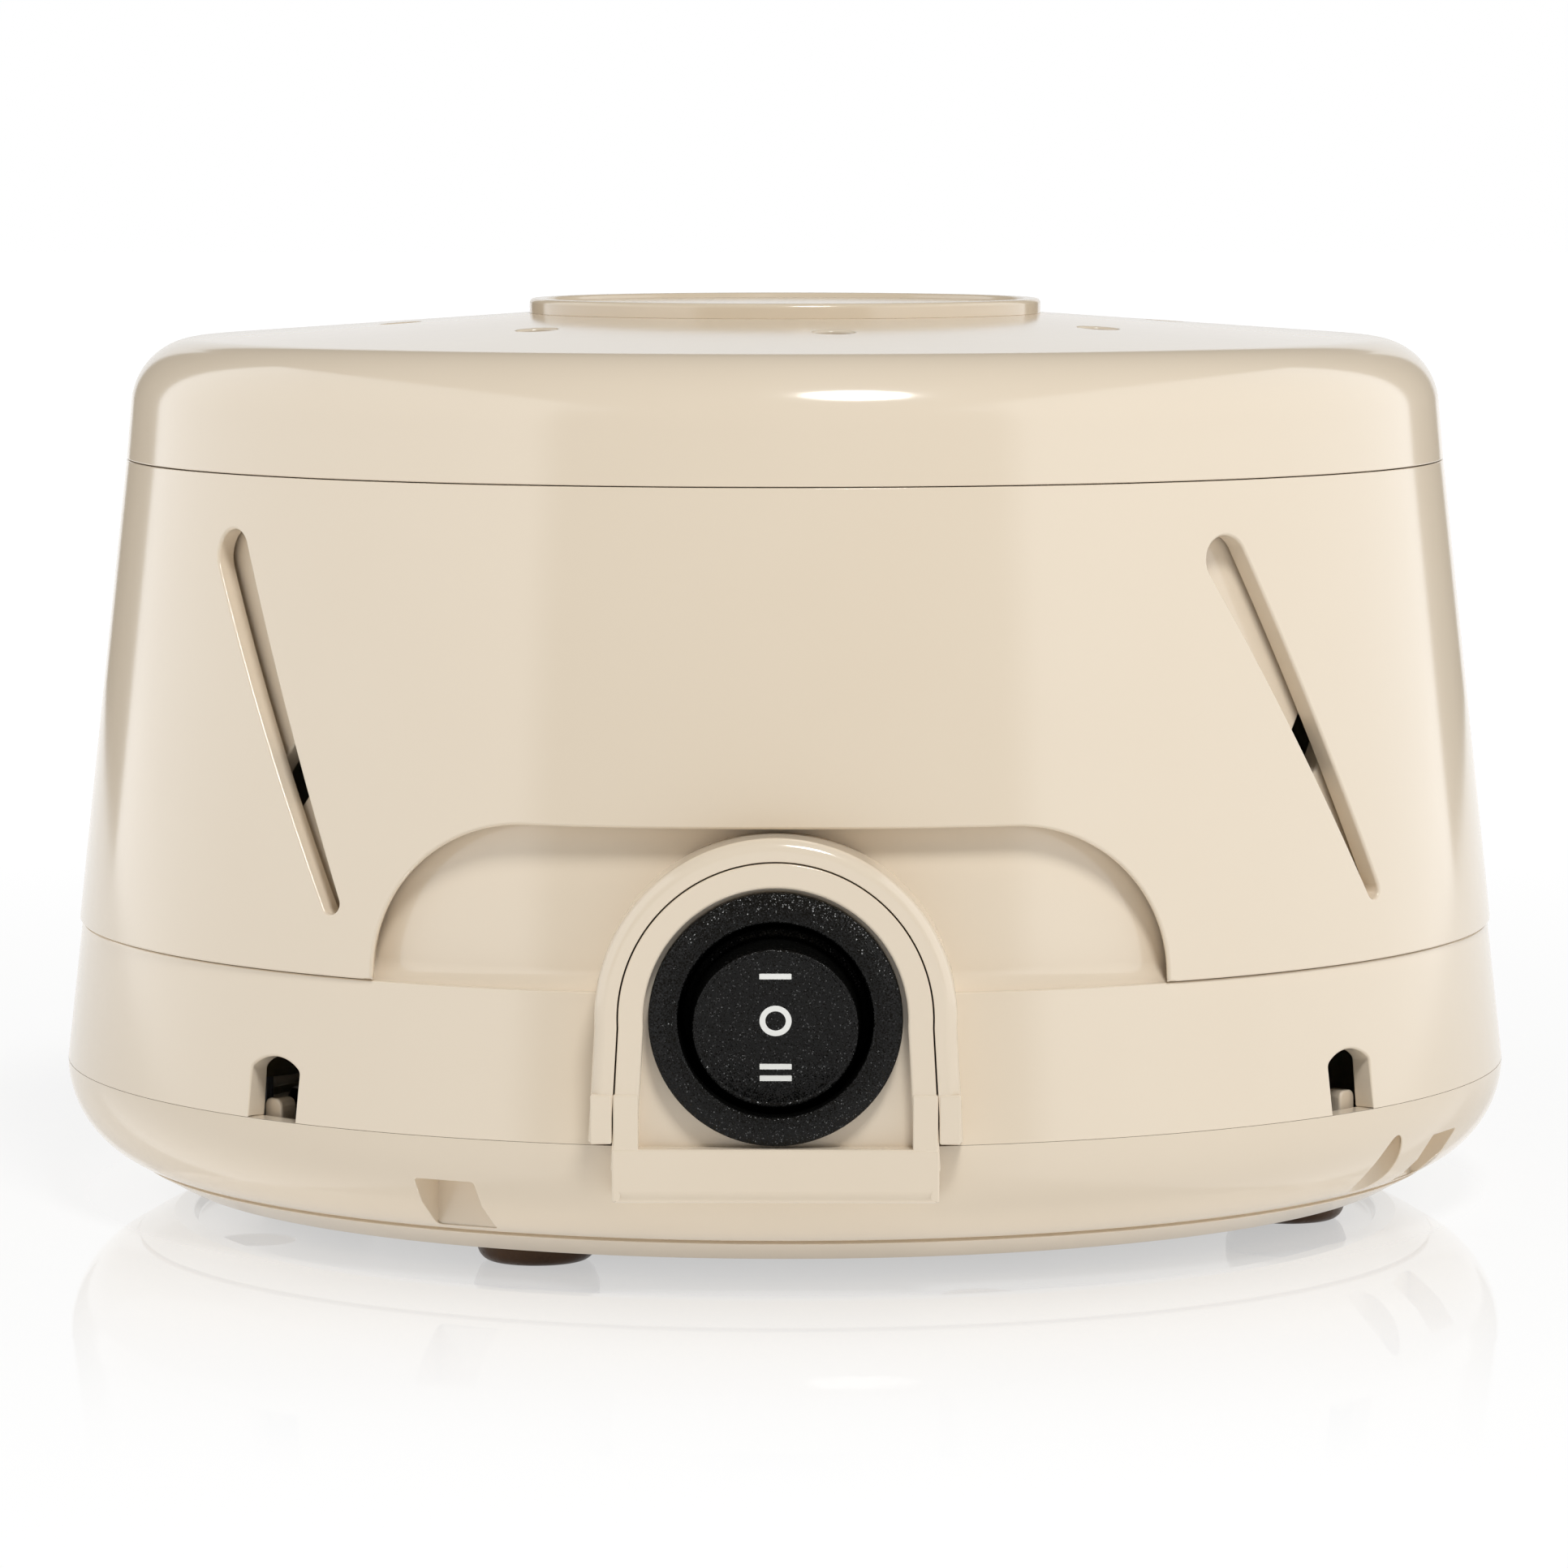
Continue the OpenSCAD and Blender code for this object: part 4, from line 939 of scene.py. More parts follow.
@dataclass(frozen=True)
class Finish:
    """Look of one material: colours, gloss and fine relief.

    Pitch and cloud are the sizes in mm of the fine and the broad pattern. The depth is the height
    of the fine relief in mm, or the tilt of its facets for a glitter.
    """

    name: str
    colour: str
    shade: str
    roughness: float
    grain: Grain
    pitch: float
    depth: float
    spread: float = 0.04
    cloud: float = 22.0
    metallic: float = 0.0
    ior: float = 1.5
    coat: float = 0.0
    specular: float = 0.5
    stretch: tuple[float, float, float] = (1.0, 1.0, 1.0)

    def material(self) -> bpy.types.Material:
        """The material, made once for all pieces of this finish.

        Returns:
            The material.
        """
        known = bpy.data.materials.get(self.name)
        if known:
            return known
        material = bpy.data.materials.new(self.name)
        tree = blank_tree(material)
        place = add_node(tree, "ShaderNodeTexCoord").outputs["Object"]
        metre = 1 / (self.pitch * MM)
        scaled = add_node(tree, "ShaderNodeMapping", {
            "Vector": place, "Scale": [metre * k for k in self.stretch]
        }).outputs["Vector"]
        fine = self._relief(tree, scaled)
        broad = add_node(tree, "ShaderNodeTexNoise", {
            "Vector": place, "Scale": 1 / (self.cloud * MM), "Detail": 2.0
        })
        colour = add_node(
            tree, "ShaderNodeMix", {0: broad.outputs["Fac"], 6: linear(self.colour), 7: linear(self.shade)},
            data_type="RGBA",
        )
        gloss = add_node(tree, "ShaderNodeMapRange", {
            "Value": fine, "To Min": self.roughness - self.spread, "To Max": self.roughness + self.spread
        })
        if self.grain is Grain.GLITTER:
            relief = self._facets(tree, scaled)
        else:
            relief = add_node(
                tree, "ShaderNodeBump", {"Height": fine, "Distance": self.depth * MM, "Strength": 1.0}
            ).outputs["Normal"]
        inputs: dict[Any, Any] = {
            "Base Color": colour.outputs[2], "Roughness": gloss.outputs["Result"], "Normal": relief,
            "Metallic": self.metallic, "Coat Weight": self.coat, "Coat Roughness": 0.08,
        }
        if not self.metallic:
            inputs["IOR"] = self.ior
            inputs["Specular IOR Level"] = self.specular
        shader = add_node(tree, "ShaderNodeBsdfPrincipled", inputs)
        add_node(tree, "ShaderNodeOutputMaterial", {"Surface": shader.outputs["BSDF"]})
        return material

    def _facets(self, tree: bpy.types.NodeTree, place: bpy.types.NodeSocket) -> bpy.types.NodeSocket:
        """Normal of small flat facets, each tilted its own way by up to half the depth.

        Args:
            tree: Tree that takes the nodes.
            place: Socket with the place, scaled to the pitch.

        Returns:
            Socket with the normal.
        """
        cells = add_node(tree, "ShaderNodeTexVoronoi", {"Vector": place, "Scale": 1.0, "Randomness": 1.0})
        tilt = add_node(tree, "ShaderNodeVectorMath", {
            0: cells.outputs["Color"], 1: (0.5, 0.5, 0.5)
        }, operation="SUBTRACT")
        tilt = add_node(tree, "ShaderNodeVectorMath", {
            0: tilt.outputs["Vector"], "Scale": self.depth
        }, operation="SCALE")
        plain = add_node(tree, "ShaderNodeNewGeometry").outputs["Normal"]
        both = add_node(tree, "ShaderNodeVectorMath", {0: plain, 1: tilt.outputs["Vector"]}, operation="ADD")
        facet = add_node(tree, "ShaderNodeVectorMath", {0: both.outputs["Vector"]}, operation="NORMALIZE")
        return facet.outputs["Vector"]

    def _relief(self, tree: bpy.types.NodeTree, place: bpy.types.NodeSocket) -> bpy.types.NodeSocket:
        """Height of the fine relief, from 0 to 1.

        Args:
            tree: Tree that takes the nodes.
            place: Socket with the place, scaled to the pitch.

        Returns:
            Socket with the height.
        """
        if self.grain is Grain.SPARK_ERODED:
            cells = add_node(tree, "ShaderNodeTexVoronoi", {"Vector": place, "Scale": 1.0, "Randomness": 1.0})
            noise = add_node(tree, "ShaderNodeTexNoise", {"Vector": place, "Scale": 0.6, "Detail": 3.0})
            both = {0: cells.outputs["Distance"], 1: noise.outputs["Fac"]}
            return add_node(tree, "ShaderNodeMath", both, operation="MULTIPLY").outputs["Value"]
        noise = add_node(tree, "ShaderNodeTexNoise", {"Vector": place, "Scale": 1.0, "Detail": 3.0})
        return noise.outputs["Fac"]


# Injection-moulded ABS from a polished mould: an even, warm gloss with a faint ripple.
SHELL_ABS = Finish("abs_moulded_polished", "#E6D8C3", "#E3D4BE", 0.12, Grain.POLISHED, 1.6, 0.0008, 0.01)
# The same ABS a shade deeper for the disc on the cap: painted shade, standing for the shade in the disc's
# recessed face.
DISC_ABS = Finish("abs_moulded_disc", "#E2D3BC", "#DECEB6", 0.12, Grain.POLISHED, 1.4, 0.0010, 0.015)
# Glass-filled nylon from a spark-eroded mould: matt black with a fine glitter, drawn coarser than
# the real grain of about 0.05 mm so that it shows.
SWITCH_NYLON = Finish(
    "nylon_black_spark_eroded", "#090908", "#0D0D0C", 0.2, Grain.GLITTER, 0.1, 0.75, 0.05, 6.0, specular=0.18
)
# Pad-printed white ink: flat and slightly uneven.
MARK_INK = Finish("ink_white_pad_printed", "#F2F2EE", "#E9E9E4", 0.45, Grain.POLISHED, 0.3, 0.004)
# Moulded synthetic rubber: dark brown with a dull shine.
FOOT_RUBBER = Finish(
    "rubber_moulded_brown", "#58412F", "#3E2E22", 0.3, Grain.POLISHED, 0.9, 0.06, 0.08, 5.0, specular=0.12
)
# The same rubber in black, drier and without a shine.
GROMMET_RUBBER = Finish("rubber_moulded_black", "#26241F", "#1D1B19", 0.5, Grain.POLISHED, 0.5, 0.01)
# Zinc-plated steel: bright grey with a soft, slightly cloudy gloss.
ZINC_STEEL = Finish(
    "steel_zinc_plated", "#C4C6C8", "#B2B5B9", 0.3, Grain.POLISHED, 0.6, 0.004, 0.08, 4.0, 1.0
)
# Cold-rolled sheet: brushed lightly along the rolling direction.
SHEET_STEEL = Finish(
    "steel_sheet_rolled", "#B3B6B9", "#A3A6AA", 0.36, Grain.ROLLED, 0.4, 0.004, 0.08, 14.0, 1.0,
    stretch=(0.06, 1, 1),
)
# Stacked electrical steel: thin edges lie over each other every 0.5 mm.
LAMINATION = Finish(
    "steel_electrical_stacked", "#8C8F93", "#6F7277", 0.42, Grain.ROLLED, 0.5, 0.03, 0.1, 9.0, 1.0,
    stretch=(0.03, 0.03, 1),
)
# Ground steel rod: smooth with fine rings.
GROUND_STEEL = Finish(
    "steel_ground_rod", "#CDCFD2", "#BFC2C6", 0.16, Grain.ROLLED, 0.2, 0.001, 0.04, 6.0, 1.0,
    stretch=(0.2, 0.2, 1),
)
# Zinc die casting: grey and slightly pitted.
CAST_ZINC = Finish("zinc_die_cast", "#A9ABAE", "#989B9F", 0.46, Grain.POLISHED, 0.7, 0.02, 0.1, 5.0, 1.0)
# Drawn copper strip with a brown tinge of age.
COPPER = Finish(
    "copper_drawn", "#C27B4E", "#A8623A", 0.28, Grain.ROLLED, 0.3, 0.003, 0.08, 3.0, 1.0, stretch=(0.1, 1, 1)
)
# Enamelled winding wire under varnish: reddish copper turns of about 0.35 mm.
WINDING = Finish(
    "copper_wire_enamelled", "#9C4B28", "#7F3A1E", 0.3, Grain.ROLLED, 0.35, 0.09, 0.06, 6.0, 0.4,
    coat=0.5, stretch=(1, 0.03, 0.03),
)
# Natural nylon: milky and slightly waxy.
NYLON = Finish("nylon_natural_moulded", "#E6E2D2", "#DDD8C6", 0.38, Grain.POLISHED, 0.9, 0.004)
# Sintered bronze: brown-gold with open pores.
BRONZE = Finish("bronze_sintered", "#A87E48", "#8F6A3B", 0.45, Grain.SPARK_ERODED, 0.3, 0.03, 0.1, 3.0, 1.0)
# Rolled brass strip with dull spots.
BRASS = Finish(
    "brass_rolled", "#CFAE62", "#B9964B", 0.3, Grain.ROLLED, 0.4, 0.003, 0.08, 4.0, 1.0, stretch=(0.1, 1, 1)
)
# Extruded PVC insulation: black and faintly shiny.
WIRE_PVC = Finish("pvc_extruded_black", "#1C1C1E", "#222224", 0.38, Grain.POLISHED, 0.8, 0.004)


# ---------------------------------------------------------------- shared sizes


@dataclass(frozen=True)
class Envelope:
    """Radii and heights that the shells share."""

    body_r: float = 73.0
    seam_z: float = 14.0
    ledge_z: float = 28.0
    band_draft: float = 6.5
    collar_draft: float = 6.25
    collar_step: float = 0.3
    turn_gap: float = 0.1
    collar_h: float = 46.4
    wall: float = 2.2
    skin: float = 2.0
    inner_wall: float = 2.0
    collar_gap: float = 0.5
    cap_gap: float = 0.6
    cap_side_h: float = 5.7
    cap_side_draft: float = 5.0
    shoulder_r: float = 7.0
    cap_slope: float = 4.03
    disc_r: float = 25.9
    well_r: float = 12.0
    well_depth: float = 3.2
    post_r: float = 5.0
    pilot_r: float = 1.6
    boss_wall: float = 3.0
    boss_depth: float = 5.0
    hole_r: float = 2.0
    hole_ring_r: float = 39.0
    hole_angle: float = 7.5
    hole_count: int = 8

    @property
    def collar_z(self) -> float:
        """Lower edge of the collar."""
        return self.ledge_z + self.turn_gap

    @property
    def collar_top_z(self) -> float:
        """Upper edge of the collar."""
        return self.collar_z + self.collar_h

    @property
    def cap_z(self) -> float:
        """Lower edge of the cap."""
        return self.collar_top_z + self.turn_gap

    @property
    def cap_r(self) -> float:
        """Radius of the lower edge of the cap."""
        return self.collar_r(self.cap_z)

    @property
    def shoulder_centre(self) -> np.ndarray:
        """Centre of the shoulder arc of the cap.

        Returns:
            Its radius and height.
        """
        draft = math.radians(self.cap_side_draft)
        return np.array([
            self.cap_r - self.cap_side_h * math.tan(draft) - self.shoulder_r * math.cos(draft),
            self.cap_z + self.cap_side_h - self.shoulder_r * math.sin(draft),
        ])

    def band_r(self, z: float) -> float:
        """Radius of the lower band at a height."""
        return self.body_r - (z - self.seam_z) * math.tan(math.radians(self.band_draft))

    def collar_r(self, z: float) -> float:
        """Radius of the outside of the collar at a height."""
        slope = math.tan(math.radians(self.collar_draft))
        return self.band_r(self.ledge_z) + self.collar_step - (z - self.ledge_z) * slope

    def housing_r(self, z: float) -> float:
        """Radius of the acoustic wall behind the collar at a height."""
        return self.collar_r(z) - self.skin - self.collar_gap

    def cone_z(self, r: float, inset: float) -> float:
        """Height of the top of the cap at a radius, moved inwards by an inset.

        Args:
            r: The radius.
            inset: Distance from the outside of the cap.

        Returns:
            The height.
        """
        slope = math.radians(self.cap_slope)
        centre = self.shoulder_centre
        return centre[1] + (self.shoulder_r - inset) / math.cos(slope) + (centre[0] - r) * math.tan(slope)

    def shoulder(self, inset: float) -> Place:
        """Corner and fillet radius of the shoulder, moved inwards by an inset.

        Args:
            inset: Distance from the outside of the cap.

        Returns:
            Radius and height of the corner, and its fillet radius.
        """
        low, high = self.cap_side_draft, 90 - self.cap_slope
        middle, half = math.radians((low + high) / 2), math.radians((high - low) / 2)
        radius = self.shoulder_r - inset
        way = np.array([math.cos(middle), math.sin(middle)])
        corner = self.shoulder_centre + radius / math.cos(half) * way
        return float(corner[0]), float(corner[1]), radius

    @property
    def seat_z(self) -> float:
        """Height of the flat seat of the disc on the cap."""
        return self.cone_z(self.disc_r, 0)


ENVELOPE = Envelope()


def dress(piece: bpy.types.Object, body: str, slot: str, *nodes: str) -> None:
    """Ties a piece to its body and hides the nodes of the frame that it stands for.

    Args:
        piece: Piece of the visual model.
        body: Body of the frame that it rides on.
        slot: Not used.
        nodes: Nodes of the frame that it takes the place of.
    """
    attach(piece, body)
    if nodes:
        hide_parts(*nodes)
    log.info("%s: %d faces on %s", piece.name, len(piece.data.polygons), body)


def sound_holes(
    draft: MeshDraft, surface: Turned, env: Envelope, walls: tuple[int, int], radius: float
) -> list[np.ndarray]:
    """Cuts the ring of round sound holes in the top of a shell.

    Args:
        draft: Draft that takes the walls of the holes.
        surface: Surface of the shell.
        env: Sizes of the holes and their ring.
        walls: Corners after which the outer and the inner top of the shell run.
        radius: Radius of the outer edges.

    Returns:
        The loops that the skin leaves open.
    """
    loops: list[np.ndarray] = []
    for i in range(env.hole_count):
        hole = circle(*polar(env.hole_ring_r, env.hole_angle + i * 360 / env.hole_count), env.hole_r)
        outer, inner = (surface.upright(surface.profile.run(k), hole.points) for k in walls)
        loops += through(draft, surface, outer, inner, hole.upright(), radius)
    return loops


# ---------------------------------------------------------------- shells


@dataclass
class Cap:
    """Turning cap with its ring of round sound holes, and the bare disc on it.

    The edge is the rounding of the cap's lower rim, and the recess the step from the disc's rim to
    its face.
    """

    env: Envelope = ENVELOPE
    edge: float = 0.12
    bore_r: float = 5.05
    disc_h: float = 1.5
    disc_rim: float = 1.6
    disc_recess: float = 0.5
    spigot_t: float = 1.1
    spigot_h: float = 1.7
    spigot_gap: float = 0.1

    # Corners of the profile after which the outer and the inner side of the top run.
    TOP = (2, 10)

    def build(self) -> None:
        """Builds the shell and the disc."""
        self.shell()
        self.disc()

    def shell(self) -> None:
        """Builds the cap shell with its holes."""
        env, seat = self.env, self.env.seat_z
        floor = seat - env.well_depth
        under = env.cone_z(env.disc_r, env.skin)
        low = floor - env.skin
        surface = Turned(Profile([
            (env.cap_r - env.skin, env.cap_z, 0.2), (env.cap_r, env.cap_z, self.edge), env.shoulder(0),
            (env.disc_r, seat, 0.05), (env.well_r, seat, 0.3), (env.well_r, floor, 0.3),
            (self.bore_r, floor, 0.2), (self.bore_r, low, 0.2), (env.well_r + env.skin, low, 0.3),
            (env.well_r + env.skin, under, 0.5), (env.disc_r, under, 0.5), env.shoulder(env.skin),
        ]))
        draft = MeshDraft()
        surface.skin(draft, sound_holes(draft, surface, env, self.TOP, 0.3))
        dress(draft.build("cap", SHELL_ABS), "cap", "shell", "cap_shell")

    def disc(self) -> None:
        """Builds the bare disc with its raised rim."""
        env, seat = self.env, self.env.seat_z
        top = seat + self.disc_h
        face_r, spigot_r = env.disc_r - self.disc_rim, env.well_r - self.spigot_gap
        low = seat - self.spigot_h
        profile = Profile([
            (0, seat, 0), (spigot_r - self.spigot_t, seat, 0.2), (spigot_r - self.spigot_t, low, 0.2),
            (spigot_r, low, 0.2), (spigot_r, seat, 0.2), (env.disc_r, seat, 0.04),
            (env.disc_r, top, 0.5), (face_r, top, 0.4), (face_r - 0.3, top - self.disc_recess, 0.2),
            (0, top - self.disc_recess, 0),
        ], closed=False)
        dress(Turned(profile).piece("disc", DISC_ABS), "cap", "disc", "top_disc")


@dataclass
class Collar:
    """Turning collar with four leaning slots and the cut-out over the switch arch."""

    env: Envelope = ENVELOPE
    turn: float = -0.7
    land: float = 0.5
    cutout_half_w: float = 37.15
    cutout_r: float = 14.5
    cutout_top_z: float = 43.17
    slot_angle: float = 46.4
    slot_low_z: float = 34.8
    slot_rise: float = 32.1
    slot_run: float = 17.6
    slot_top_r: float = 2.43
    slot_low_r: float = 0.95

    # Corners of the profile after which the outer and the inner side of the wall run.
    WALL = (4, 1)

    def cutout(self, low_z: float) -> Outline:
        """Outline of the cut-out, from the foot of the left leg to that of the right leg.

        Args:
            low_z: Height of the ends of the legs.

        Returns:
            The open outline.
        """
        x, z = self.cutout_half_w - self.cutout_r, self.cutout_top_z - self.cutout_r
        steps = 4
        legs = [low_z + (z - low_z) * k / steps for k in range(steps)]
        bow = Outline.of([
            (-x, z, self.cutout_r, 180, 90.001), (x, z, self.cutout_r, 89.999, 0)
        ], closed=False)
        left = [(-self.cutout_half_w, h) for h in legs]
        right = [(self.cutout_half_w, h) for h in reversed(legs)]
        outward = [[(-1.0, 0.0)] * steps, -bow.outward, [(1.0, 0.0)] * steps]
        return Outline(np.concatenate([left, bow.points, right]), np.concatenate(outward))

    def build(self) -> None:
        """Builds the collar."""
        env = self.env
        z0, z1 = env.collar_z, env.collar_top_z
        lead = z0 + env.skin - self.land
        profile = Profile([
            (env.collar_r(z1), z1, 0.12), (env.collar_r(z1) - env.skin, z1, 0.2),
            (env.collar_r(lead) - env.skin, lead, 0.9), (env.collar_r(z0) - self.land, z0, 0.15),
            (env.collar_r(z0), z0, 0.15),
        ])
        surface = Turned(profile)
        draft = MeshDraft()
        walls = tuple(profile.run(k) for k in self.WALL)
        edges = self.cutout(profile.at(walls[0][0])[1]), self.cutout(profile.at(walls[1][1])[1])
        holes = notch(draft, surface, self.turn, edges, walls, 0.3, 0.12)
        slot = teardrop(
            (-self.slot_run / 2, self.slot_low_z + self.slot_rise, self.slot_top_r),
            (self.slot_run / 2, self.slot_low_z, self.slot_low_r),
        )
        for quarter in QUARTERS:
            turn = self.slot_angle + quarter
            outer, inner = (surface.sideways(wall, turn, slot.points) for wall in walls)
            holes += through(draft, surface, outer, inner, slot.level(turn), 0.3)
        surface.skin(draft, holes)
        dress(draft.build("tone_ring", SHELL_ABS), "collar", "shell", "tone_collar")


@dataclass
class Housing:
    """Main housing: lower band, switch arch, acoustic wall and dome with the post of the cap."""

    env: Envelope = ENVELOPE
    cove_r: float = 2.2
    port_angle: float = 47.1
    port_lean: float = 37.0
    port_l: float = 34.0
    port_r: float = 2.4
    port_mid_z: float = 46.25
    window_angle: float = 48.8
    window_w: float = 6.4
    window_h: float = 6.0
    crown: float = 1.2
    arch_y: float = -75.0
    switch_z: float = 26.07
    opening_r: float = 14.6
    arch_r: float = 16.7
    leg_spread: float = 0.6
    arch_back_y: float = -66.0
    pad_top_z: float = 19.2
    pad_step: float = 0.18
    leg_lift: float = 0.6
    inlet_z: float = 21.0
    inlet_hole_r: float = 4.7
    inlet_pad_r: float = 6.7
    inlet_pad_y: float = 73.2
    inlet_root_y: float = 68.5
    screw_ring_r: float = 56.0
    screw_angle: float = 20.2
    boss_r: float = 4.7
    boss_h: float = 20.0
    screw_pilot_r: float = 1.85
    dish_gap: float = 3.2
    pad_inset: float = 0.05
    pad_gap: float = 0.12

    # Corners of the profile after which the outer and the inner side of each wall run.
    BAND = (15, 13)
    WALL = (17, 11)
    TOP = (18, 10)

    def profile(self) -> Profile:
        """Cross-section of the shell, walked from the wall of the dish of the post.

        Returns:
            The closed profile.
        """
        env = self.env
        seat = env.seat_z
        dome = env.skin + env.cap_gap
        flat, low_flat = env.cone_z(env.disc_r, dome), env.cone_z(env.disc_r, dome + env.inner_wall)
        dish_r = env.well_r + env.skin + self.dish_gap
        dish = seat - env.well_depth - env.skin - env.turn_gap
        post_top = seat - env.well_depth + env.turn_gap
        boss_low = dish - env.inner_wall - env.boss_depth
        boss_r = env.pilot_r + env.boss_wall
        step = env.ledge_z - env.wall
        return Profile([
            (dish_r, flat, 0.3), (dish_r, dish, 0.4), (env.post_r, dish, 0.4), (env.post_r, post_top, 0.2),
            (env.pilot_r, post_top, 0.1), (env.pilot_r, boss_low, 0.1), (boss_r, boss_low, 0.2),
            (boss_r, dish - env.inner_wall, 0.4), (dish_r + env.inner_wall, dish - env.inner_wall, 0.3),
            (dish_r + env.inner_wall, flat - env.inner_wall, 0.4), (env.disc_r, low_flat, 0.5),
            env.shoulder(dome + env.inner_wall), (env.housing_r(step) - env.inner_wall, step, 0.3),
            (env.band_r(step) - env.wall, step, 0.25), (env.band_r(env.seam_z) - env.wall, env.seam_z, 0.2),
            (env.body_r, env.seam_z, 0.03), (env.band_r(env.ledge_z), env.ledge_z, 0.2),
            (env.housing_r(env.ledge_z), env.ledge_z, self.cove_r), env.shoulder(dome),
            (env.disc_r, flat, 0.5),
        ])

    def window(self, low_z: float) -> Outline:
        """Outline of a side window, from the foot of the left leg to that of the right leg.

        Args:
            low_z: Height of the ends of the legs.

        Returns:
            The open outline.
        """
        half = self.window_w / 2
        crown_r = (half ** 2 + self.crown ** 2) / (2 * self.crown)
        side_z = self.env.seam_z + self.window_h - self.crown
        sweep = math.degrees(math.asin(half / crown_r))
        corner = 0.7
        top = Outline.of([
            (-half + corner, side_z - corner / 2, corner, 180, 90 + sweep),
            (0, side_z + self.crown - crown_r, crown_r, 90 + 0.8 * sweep, 90 - 0.8 * sweep),
            (half - corner, side_z - corner / 2, corner, 90 - sweep, 0),
        ], closed=False)
        points = np.concatenate([[(-half, low_z)], top.points, [(half, low_z)]])
        outward = np.concatenate([[(-1.0, 0.0)], -top.outward, [(1.0, 0.0)]])
        return Outline(points, outward)

    def arch_gap(self, surface: Turned) -> np.ndarray:
        """Loop of the opening for the switch, hidden inside the thickness of the arch.

        Args:
            surface: Surface of the housing.

        Returns:
            Angle and place along the walk, one pair per row.
        """
        profile = surface.profile
        radius = (self.opening_r + self.arch_r) / 2
        top = self.switch_z + radius - 0.01
        end, start = (profile.find(profile.run(k), 1, top) for k in self.WALL)
        share = (1 - np.cos(np.linspace(0, math.pi, 160))) / 2
        right = []
        for s in start + (end - start) * share:
            r, z, _, _ = profile.at(s)
            rise = max(0.0, z - self.switch_z)
            half = math.sqrt(max(1e-4, radius ** 2 - rise ** 2))
            right.append((math.degrees(math.asin(half / r)), s))
        left = [(-a, s) for a, s in reversed(right)]
        return np.array(right + left)

    def legs(self, low_z: float) -> Span:
        """How far the legs of the arch spread down to a height, and the lean that gives.

        Args:
            low_z: The height.

        Returns:
            The spread, and the lean in degrees.
        """
        drop = self.switch_z - low_z
        spread = self.leg_spread * drop / (self.switch_z - self.env.seam_z)
        return spread, math.degrees(math.atan2(spread, drop))

    def horseshoe(self, outer_r: float, inner_r: float, low_z: float) -> tuple[Outline, np.ndarray]:
        """Arch with legs that spread downwards.

        Args:
            outer_r: Outer radius.
            inner_r: Inner radius.
            low_z: Height of the ends of the legs.

        Returns:
            The outline, and for each point whether it lies on the outer side.
        """
        spread, lean = self.legs(low_z)
        tip = 0.25
        z = low_z + tip
        outline = Outline.of([
            (0, self.switch_z, outer_r, -lean, 180 + lean),
            (-outer_r - spread + tip, z, tip, 180 + lean, 270),
            (-inner_r - spread - tip, z, tip, 270, 360 + lean),
            (0, self.switch_z, inner_r, 180 + lean, -lean),
            (inner_r + spread + tip, z, tip, 180 - lean, 270),
            (outer_r + spread - tip, z, tip, 270, 360 - lean),
        ])
        middle = (outer_r + inner_r) / 2 + spread / 2
        far = np.hypot(outline.points[:, 0], np.maximum(0, outline.points[:, 1] - self.switch_z)) > middle
        return outline, far

    def build(self) -> None:
        """Builds the housing."""
        surface = Turned(self.profile())
        profile = surface.profile
        draft = MeshDraft()
        holes = [self.arch_gap(surface)]
        x, drop = polar(self.port_l / 2, self.port_lean)
        port = teardrop((-x, self.port_mid_z + drop, self.port_r), (x, self.port_mid_z - drop, self.port_r))
        for quarter in QUARTERS:
            turn = self.port_angle + quarter
            outer, inner = (surface.sideways(profile.run(k), turn, port.points) for k in self.WALL)
            holes += through(draft, surface, outer, inner, port.level(turn), 0.25)
            turn = self.window_angle + quarter
            walls = tuple(profile.run(k) for k in self.BAND)
            edges = self.window(profile.at(walls[0][0])[1]), self.window(profile.at(walls[1][1])[1])
            holes += notch(draft, surface, turn, edges, walls, 0.25, 0.1)
        holes += sound_holes(draft, surface, self.env, self.TOP, 0.25)
        inlet = circle(0, self.inlet_z, self.inlet_hole_r)
        outer, inner = (surface.sideways(profile.run(k), 180, inlet.points) for k in self.BAND)
        holes += through(draft, surface, outer, inner, inlet.level(180), 0.1)
        surface.skin(draft, holes)
        self.arch(draft)
        self.bosses(draft)
        dress(draft.build("housing", SHELL_ABS), "base", "shell", "main_housing")

    def arch(self, draft: MeshDraft) -> None:
        """Adds the arch round the switch plate, with the thicker feet of its legs.

        Args:
            draft: Draft that takes the faces.
        """
        env = self.env
        outline, far = self.horseshoe(self.arch_r, self.opening_r, env.seam_z + self.leg_lift)
        slab(draft, outline, self.arch_y + self.pad_step, self.arch_back_y, np.where(far, 1.2, 0.12))
        low = self.leg_spread * 0.75
        for x0, x1 in twin(self.opening_r + low, self.arch_r + low - self.pad_gap):
            pad = boxed(x0, env.seam_z + self.leg_lift, x1, self.pad_top_z, 0.22)
            slab(draft, pad, self.arch_y + self.pad_inset, self.arch_y + 4, 0.2)

